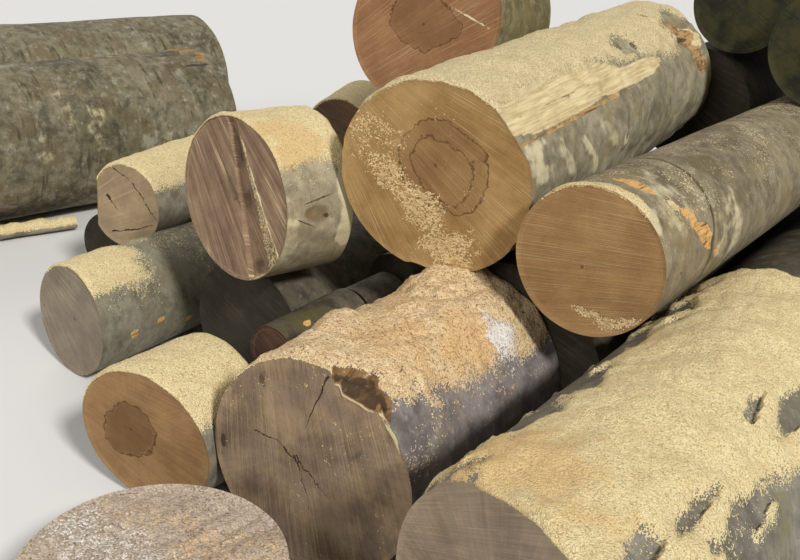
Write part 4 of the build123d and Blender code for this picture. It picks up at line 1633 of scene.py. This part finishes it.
def front_logs() -> list[Stem]:
    """The logs at the front of the heap."""
    return [
        TornLog(
            "front_log", 0.548, 0.710,
            Bark(
                "front_bark", (148, 138, 132), (104, 96, 92), (122, 106, 88), lichen=0.35,
                flesh=(136, 104, 66), dust=TAN_DUST,
            ),
            SawnEnd(
                "front_end", (168, 144, 112), (106, 87, 68),
                pith=(-0.040, 0.020), pivot=(-0.3, 1.4), strokes=0.6, fibres=0.2, rays=0.5, grime=0.4,
                grime_hue=(128, 108, 100),
                cracks=(
                    Crack((0.040, 0.250), (-0.015, 0.103), 0.003),
                    Crack((-0.066, 0.039), (-0.013, -0.011), 0.0025),
                    Crack((-0.152, 0.050), (-0.066, 0.039), 0.002),
                    Crack((-0.040, 0.020), (0.070, -0.060), 0.0018),
                    Crack((-0.030, 0.010), (0.010, -0.120), 0.0015),
                ),
            ),
            near_cut=(-7.0, -2.0), cell=0.0065,
            blanket=Blanket(0.018, 0.60, patchy=0.16, lumpy=1.1, strewn=0.34),
            side_patches=FRONT_LOG_SIDE,
            end_patches=FRONT_LOG_FACE,
            end_dust=0.13, seed=31,
        ),
        Stem(
            "front_right_log", 0.622, 1.250,
            Bark(
                "front_right_bark", (136, 130, 116), (98, 93, 80), (112, 102, 78),
                moss_hue=(118, 108, 58),
            ),
            SawnEnd(
                "front_right_end", (174, 154, 130), (140, 122, 102),
                pith=(-0.02, 0.0), pivot=(-1.4, -0.6), strokes=0.5, fibres=0.2, rays=0.6, grime=0.25,
                grime_hue=(140, 124, 112),
            ),
            turn=2.0, tilt=1.5, near_cut=(15.0, -2.0), cell=0.008,
            blanket=Blanket(0.018, 0.56, patchy=0.2, lumpy=0.9),
            side_patches=FRONT_RIGHT_LOG_SIDE,
            seed=43,
        ),
        Stem(
            "front_left_round", 0.396, 0.250, GREY_BARK,
            SawnEnd(
                "front_left_end", (162, 126, 84), (134, 100, 63), (110, 76, 46),
                heart_share=0.75, pith=(-0.04, 0.02), pivot=(-0.8, 0.3), strokes=0.25, fibres=0.12,
                rays=0.35,
            ),
            near_cut=(-12.0, 3.0), cell=0.0065, blanket=Blanket(0.012, 0.42),
            heart=Heart(
                (-0.045, 0.025),
                (
                    (0.083, 0.075, 0.076, 0.070, 0.066, 0.062, 0.078, 0.098, 0.106, 0.089, 0.082, 0.082),
                ),
            ),
            seed=53,
        ),
        Stem(
            "standing_round", 0.548, 0.250, GREY_BARK, DARK_SHADE_END,
            SawnEnd(
                "standing_top", (178, 158, 138), (156, 136, 118),
                pith=(0.02, 0.03), pivot=(1.1, -1.1), strokes=0.4, grime=0.3, grime_hue=(158, 142, 138),
                dust=GREY_DUST,
            ),
            upright=True, cell=0.0070,
            side_patches=(Patch(Mark.DUST, (0.0, 0.250), (9.0, 0.012), ragged=1.2, share=0.75),),
            end_patches=STANDING_ROUND_FACE,
            end_dust=0.72, ridges=0.010, seed=61,
        ),
    ]


MID_LEFT_LOG_SIDE = (
    Patch(Mark.MOSS, (-14.0, 0.26), (0.080, 0.22), ragged=1.0, share=0.8),
    Patch(Mark.TORN, (-5.0, 0.214), (0.012, 0.018)),
    Patch(Mark.BARE, (-6.0, 0.108), (0.010, 0.020), ragged=0.9),
    Patch(Mark.TORN, (-9.0, 0.103), (0.016, 0.026), ragged=0.9),
    Patch(Mark.TORN, (-20.0, 0.34), (0.010, 0.020)),
)
BACK_TRUNK_SIDE = (
    Patch(Mark.TORN, (96.0, 1.90), (0.120, 0.07), lift=0.008, ragged=1.2, share=0.8),
    Patch(Mark.TORN, (72.0, 1.93), (0.050, 0.05), ragged=1.2, share=0.8),
    Patch(Mark.TORN, (98.0, 1.45), (0.060, 0.30), ragged=1.2, share=0.5),
    Patch(Mark.DARK, (62.0, 1.90), (0.018, 0.08), ragged=0.9, share=0.8),
    Patch(Mark.DARK, (82.0, 1.72), (0.014, 0.16), turn=10.0, ragged=0.9, share=0.6),
    Patch(Mark.MOSS, (20.0, 1.35), (0.160, 0.26), ragged=1.2, share=0.5),
    Patch(Mark.PALE, (2.0, 1.62), (0.070, 0.09), ragged=1.5, share=0.4),
    Patch(Mark.PALE, (28.0, 1.16), (0.120, 0.035), ragged=1.5, share=0.4),
    Patch(Mark.PALE, (22.0, 1.28), (0.130, 0.030), ragged=1.5, share=0.4),
    Patch(Mark.PALE, (14.0, 1.02), (0.100, 0.040), ragged=1.5, share=0.4),
)


def left_logs() -> list[Stem]:
    """The logs at the left, and the trunks and branch behind them."""
    return [
        SplitLog(
            "far_left_log", 0.308, 0.600, GREY_BARK,
            SawnEnd(
                "far_left_end", (170, 148, 114), (146, 124, 94),
                pith=(-0.02, 0.0), pivot=(-0.8, -0.4), strokes=0.3, grime=0.3,
                cracks=(
                    Crack((-0.081, 0.027), (-0.031, -0.028), 0.004),
                    Crack((-0.058, -0.105), (0.000, -0.090), 0.0035),
                    Crack((0.000, -0.090), (0.121, -0.054), 0.004),
                    Crack((-0.053, 0.130), (0.037, 0.091), 0.0035),
                    Crack((0.037, 0.091), (0.089, 0.020), 0.004),
                    Crack((0.089, 0.020), (0.150, -0.045), 0.0035),
                ),
            ),
            turn=-14.0, near_cut=(0.0, -5.0), cell=0.008, blanket=Blanket(0.012, 0.42), seed=97,
        ),
        Stem(
            "mid_left_log", 0.370, 0.900,
            Bark(
                "mid_left_bark", (142, 136, 116), (100, 95, 78), moss_hue=(122, 116, 58),
            ),
            SawnEnd(
                "mid_left_end", (150, 136, 115), (124, 110, 94),
                pith=(0.02, 0.01), pivot=(-0.35, 0.25), strokes=0.5, grime=0.3,
            ),
            turn=-2.0, near_cut=(5.0, -3.0), cell=0.009,
            blanket=Blanket(0.010, 0.66, stop=0.24, strewn=0.3),
            side_patches=MID_LEFT_LOG_SIDE,
            seed=101,
        ),
        Stem(
            "back_trunk", 0.712, 2.0, TRUNK_BARK, DARK_SHADE_END, DARK_SHADE_END, turn=11.0, cell=0.014,
            side_patches=BACK_TRUNK_SIDE,
            lumps=0.008, seed=113,
        ),
        Stem(
            "far_trunk", 0.760, 2.0, TRUNK_BARK, DARK_SHADE_END, DARK_SHADE_END, turn=9.0, cell=COARSE_CELL,
            lumps=0.008, seed=127,
        ),
        Stem(
            "branch", 0.075, 0.700, GREY_BARK, PLAIN_END, turn=19.0, cell=0.006,
            blanket=Blanket(0.010, -0.1, lumpy=1.4), lumps=0.006, seed=131,
        ),
        Stem(
            "back_round", 0.290, 0.400, HIDDEN_BARK,
            SawnEnd("back_round_end", (118, 88, 58), (88, 66, 46), grime=0.3),
            turn=-24.0, blanket=Blanket(0.006, 0.6), seed=151,
        ),
    ]


GAP_LOG_NEAR_SIDE = (
    Patch(Mark.MOSS, (70.0, 0.12), (0.060, 0.12), ragged=1.0, share=0.8),
    Patch(Mark.TORN, (61.0, 0.098), (0.010, 0.016)),
)


def gap_logs() -> list[Stem]:
    """Logs that show in part: thin ones in the gap at the front, and dark ones at the right."""
    return [
        Stem(
            "gap_log_near", 0.170, 0.330, HIDDEN_BARK,
            SawnEnd(
                "gap_near_end", (104, 72, 56), (76, 52, 42),
                rim=(150, 130, 104), grime=0.3, grime_hue=(66, 50, 44),
            ),
            DARK_SHADE_END, turn=-2.0, cell=0.008,
            side_patches=GAP_LOG_NEAR_SIDE,
            seed=157,
        ),
        Stem("gap_log_middle", 0.175, 0.180, HIDDEN_BARK, DARK_SHADE_END, DARK_SHADE_END, cell=0.008, seed=163),
        Stem("gap_log_far", 0.190, 0.600, HIDDEN_BARK, DARK_SHADE_END, DARK_SHADE_END, turn=-2.0, seed=167),
        Stem(
            "deep_log", 0.500, 0.700, HIDDEN_BARK,
            SawnEnd("deep_end", (108, 92, 84), (82, 68, 62), grime=0.4),
            DARK_SHADE_END, turn=-4.0, cell=0.014, seed=149,
        ),
        Stem("mossy_log", 0.400, 0.900, DARK_BARK, MOSSY_END, DARK_SHADE_END, seed=137),
        Stem("upper_right_log", 0.360, 0.800, DARK_BARK, MOSSY_END, DARK_SHADE_END, seed=139),
    ]


def hidden_logs() -> list[Stem]:
    """Plain logs under and behind the others, which carry them.

    Each has its diameter and length in metres, and its turn.
    """
    first_seed = 170
    sizes = {
        "base_log_left": (0.450, 1.100, 0.0),
        "base_log_centre": (0.596, 2.0, 0.0),
        "base_log_right": (0.600, 2.0, 0.0),
        "base_log_far_left": (0.300, 0.600, -14.0),
        "second_row_log": (0.380, 0.700, 0.0),
        "second_row_right_log": (0.380, 1.0, 0.0),
        "row_end_log": (0.440, 0.900, 0.0),
    }
    return [
        Stem(node, diameter, length, HIDDEN_BARK, DARK_SHADE_END, turn=turn, cell=COARSE_CELL, seed=seed)
        for seed, (node, (diameter, length, turn)) in enumerate(sizes.items(), start=first_seed)
    ]


def heap() -> list[Stem]:
    """Every log of the heap."""
    return [*middle_logs(), *front_logs(), *left_logs(), *gap_logs(), *hidden_logs()]


@dataclass(frozen=True)
class Lamp:
    """A broad distant light that faces the middle of the heap.

    It comes from the side of its place. Strength is the light that reaches the heap, in watts
    for each square metre, and spread is how wide it looks from there, in degrees.
    """

    name: str
    place: tuple[float, float, float]
    strength: float
    spread: float

    def hang(self) -> None:
        """Puts the lamp into the scene."""
        data = bpy.data.lights.new(self.name, "SUN")
        data.energy = self.strength
        data.angle = math.radians(self.spread)
        lamp = bpy.data.objects.new(self.name, data)
        lamp.location = self.place
        lamp.rotation_euler = (-Vector(self.place)).to_track_quat("-Z", "Y").to_euler()
        bpy.context.scene.collection.objects.link(lamp)


@dataclass(frozen=True)
class Studio:
    """A pale floor just under the logs, an even sky, three lamps and the camera.

    The floor reaches its half width and lies its drop below the logs, both in metres.
    """

    floor: Colour = (222, 220, 216)
    half_width: float = 60.0
    drop: float = 0.0005
    sky_light: float = 0.33
    sky_shown: float = 1.0
    lamps: tuple[Lamp, ...] = (
        Lamp("key", (4.5, -6.5, 6.5), 2.6, 8.0),
        Lamp("fill", (-5.0, -6.0, 4.5), 0.8, 35.0),
        Lamp("back", (-3.5, 7.0, 5.0), 0.8, 35.0),
    )

    def stage(self) -> None:
        """Lays the floor and hangs the lamps."""
        bpy.context.scene.view_settings.view_transform = "Standard"
        self.lay_floor()
        self.light_world()
        for lamp in self.lamps:
            lamp.hang()

    def lay_floor(self) -> None:
        """A large level sheet just under the logs."""
        ways = ((-1.0, -1.0), (1.0, -1.0), (1.0, 1.0), (-1.0, 1.0))
        spots = [(x * self.half_width, y * self.half_width, -self.drop) for x, y in ways]
        mesh = bpy.data.meshes.new("floor")
        mesh.from_pydata(spots, [], [(0, 1, 2, 3)])
        mesh.materials.append(Paint("floor").finish(self.floor, 0.9, 0.0, 0.0))
        sheet = bpy.data.objects.new("floor", mesh)
        bpy.context.scene.collection.objects.link(sheet)

    def light_world(self) -> None:
        """An even sky that shows brighter than it lights."""
        world = bpy.data.worlds.new("sky")
        bpy.context.scene.world = world
        world.use_nodes = True
        nodes, links = world.node_tree.nodes, world.node_tree.links
        nodes.clear()
        path = nodes.new("ShaderNodeLightPath")
        choose = nodes.new("ShaderNodeMixShader")
        links.new(path.outputs["Is Camera Ray"], choose.inputs["Fac"])
        for number, strength in enumerate((self.sky_light, self.sky_shown), start=1):
            glow = nodes.new("ShaderNodeBackground")
            glow.inputs["Strength"].default_value = strength
            links.new(glow.outputs[0], choose.inputs[number])
        out = nodes.new("ShaderNodeOutputWorld")
        links.new(choose.outputs[0], out.inputs["Surface"])

    def aim_camera(self) -> None:
        """The camera at the photograph's viewing angle: heading +Y, pitched down and rolled."""
        low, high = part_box("standing_round")
        middle = (low + high) / 2.0
        data = bpy.data.cameras.new("camera")
        data.lens = LENS
        data.sensor_width = SENSOR
        camera = bpy.data.objects.new("camera", data)
        pitch = Matrix.Rotation(math.radians(90.0 - PITCH_DOWN), 4, "X")
        roll = Matrix.Rotation(math.radians(ROLL), 4, "Z")
        aside, behind = EYE_FROM_ROUND
        spot = Vector((middle.x + aside, middle.y + behind, EYE_HEIGHT))
        camera.matrix_world = Matrix.Translation(spot) @ pitch @ roll
        bpy.context.scene.collection.objects.link(camera)
        bpy.context.scene.camera = camera


def main() -> None:
    """Builds the heap, then the studio."""
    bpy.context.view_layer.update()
    for stem in heap():
        piece = stem.build()
        log.info("%s: %d faces", piece.name, len(piece.data.polygons))
    studio = Studio()
    studio.aim_camera()
    studio.stage()


if __name__ == "__main__":
    main()
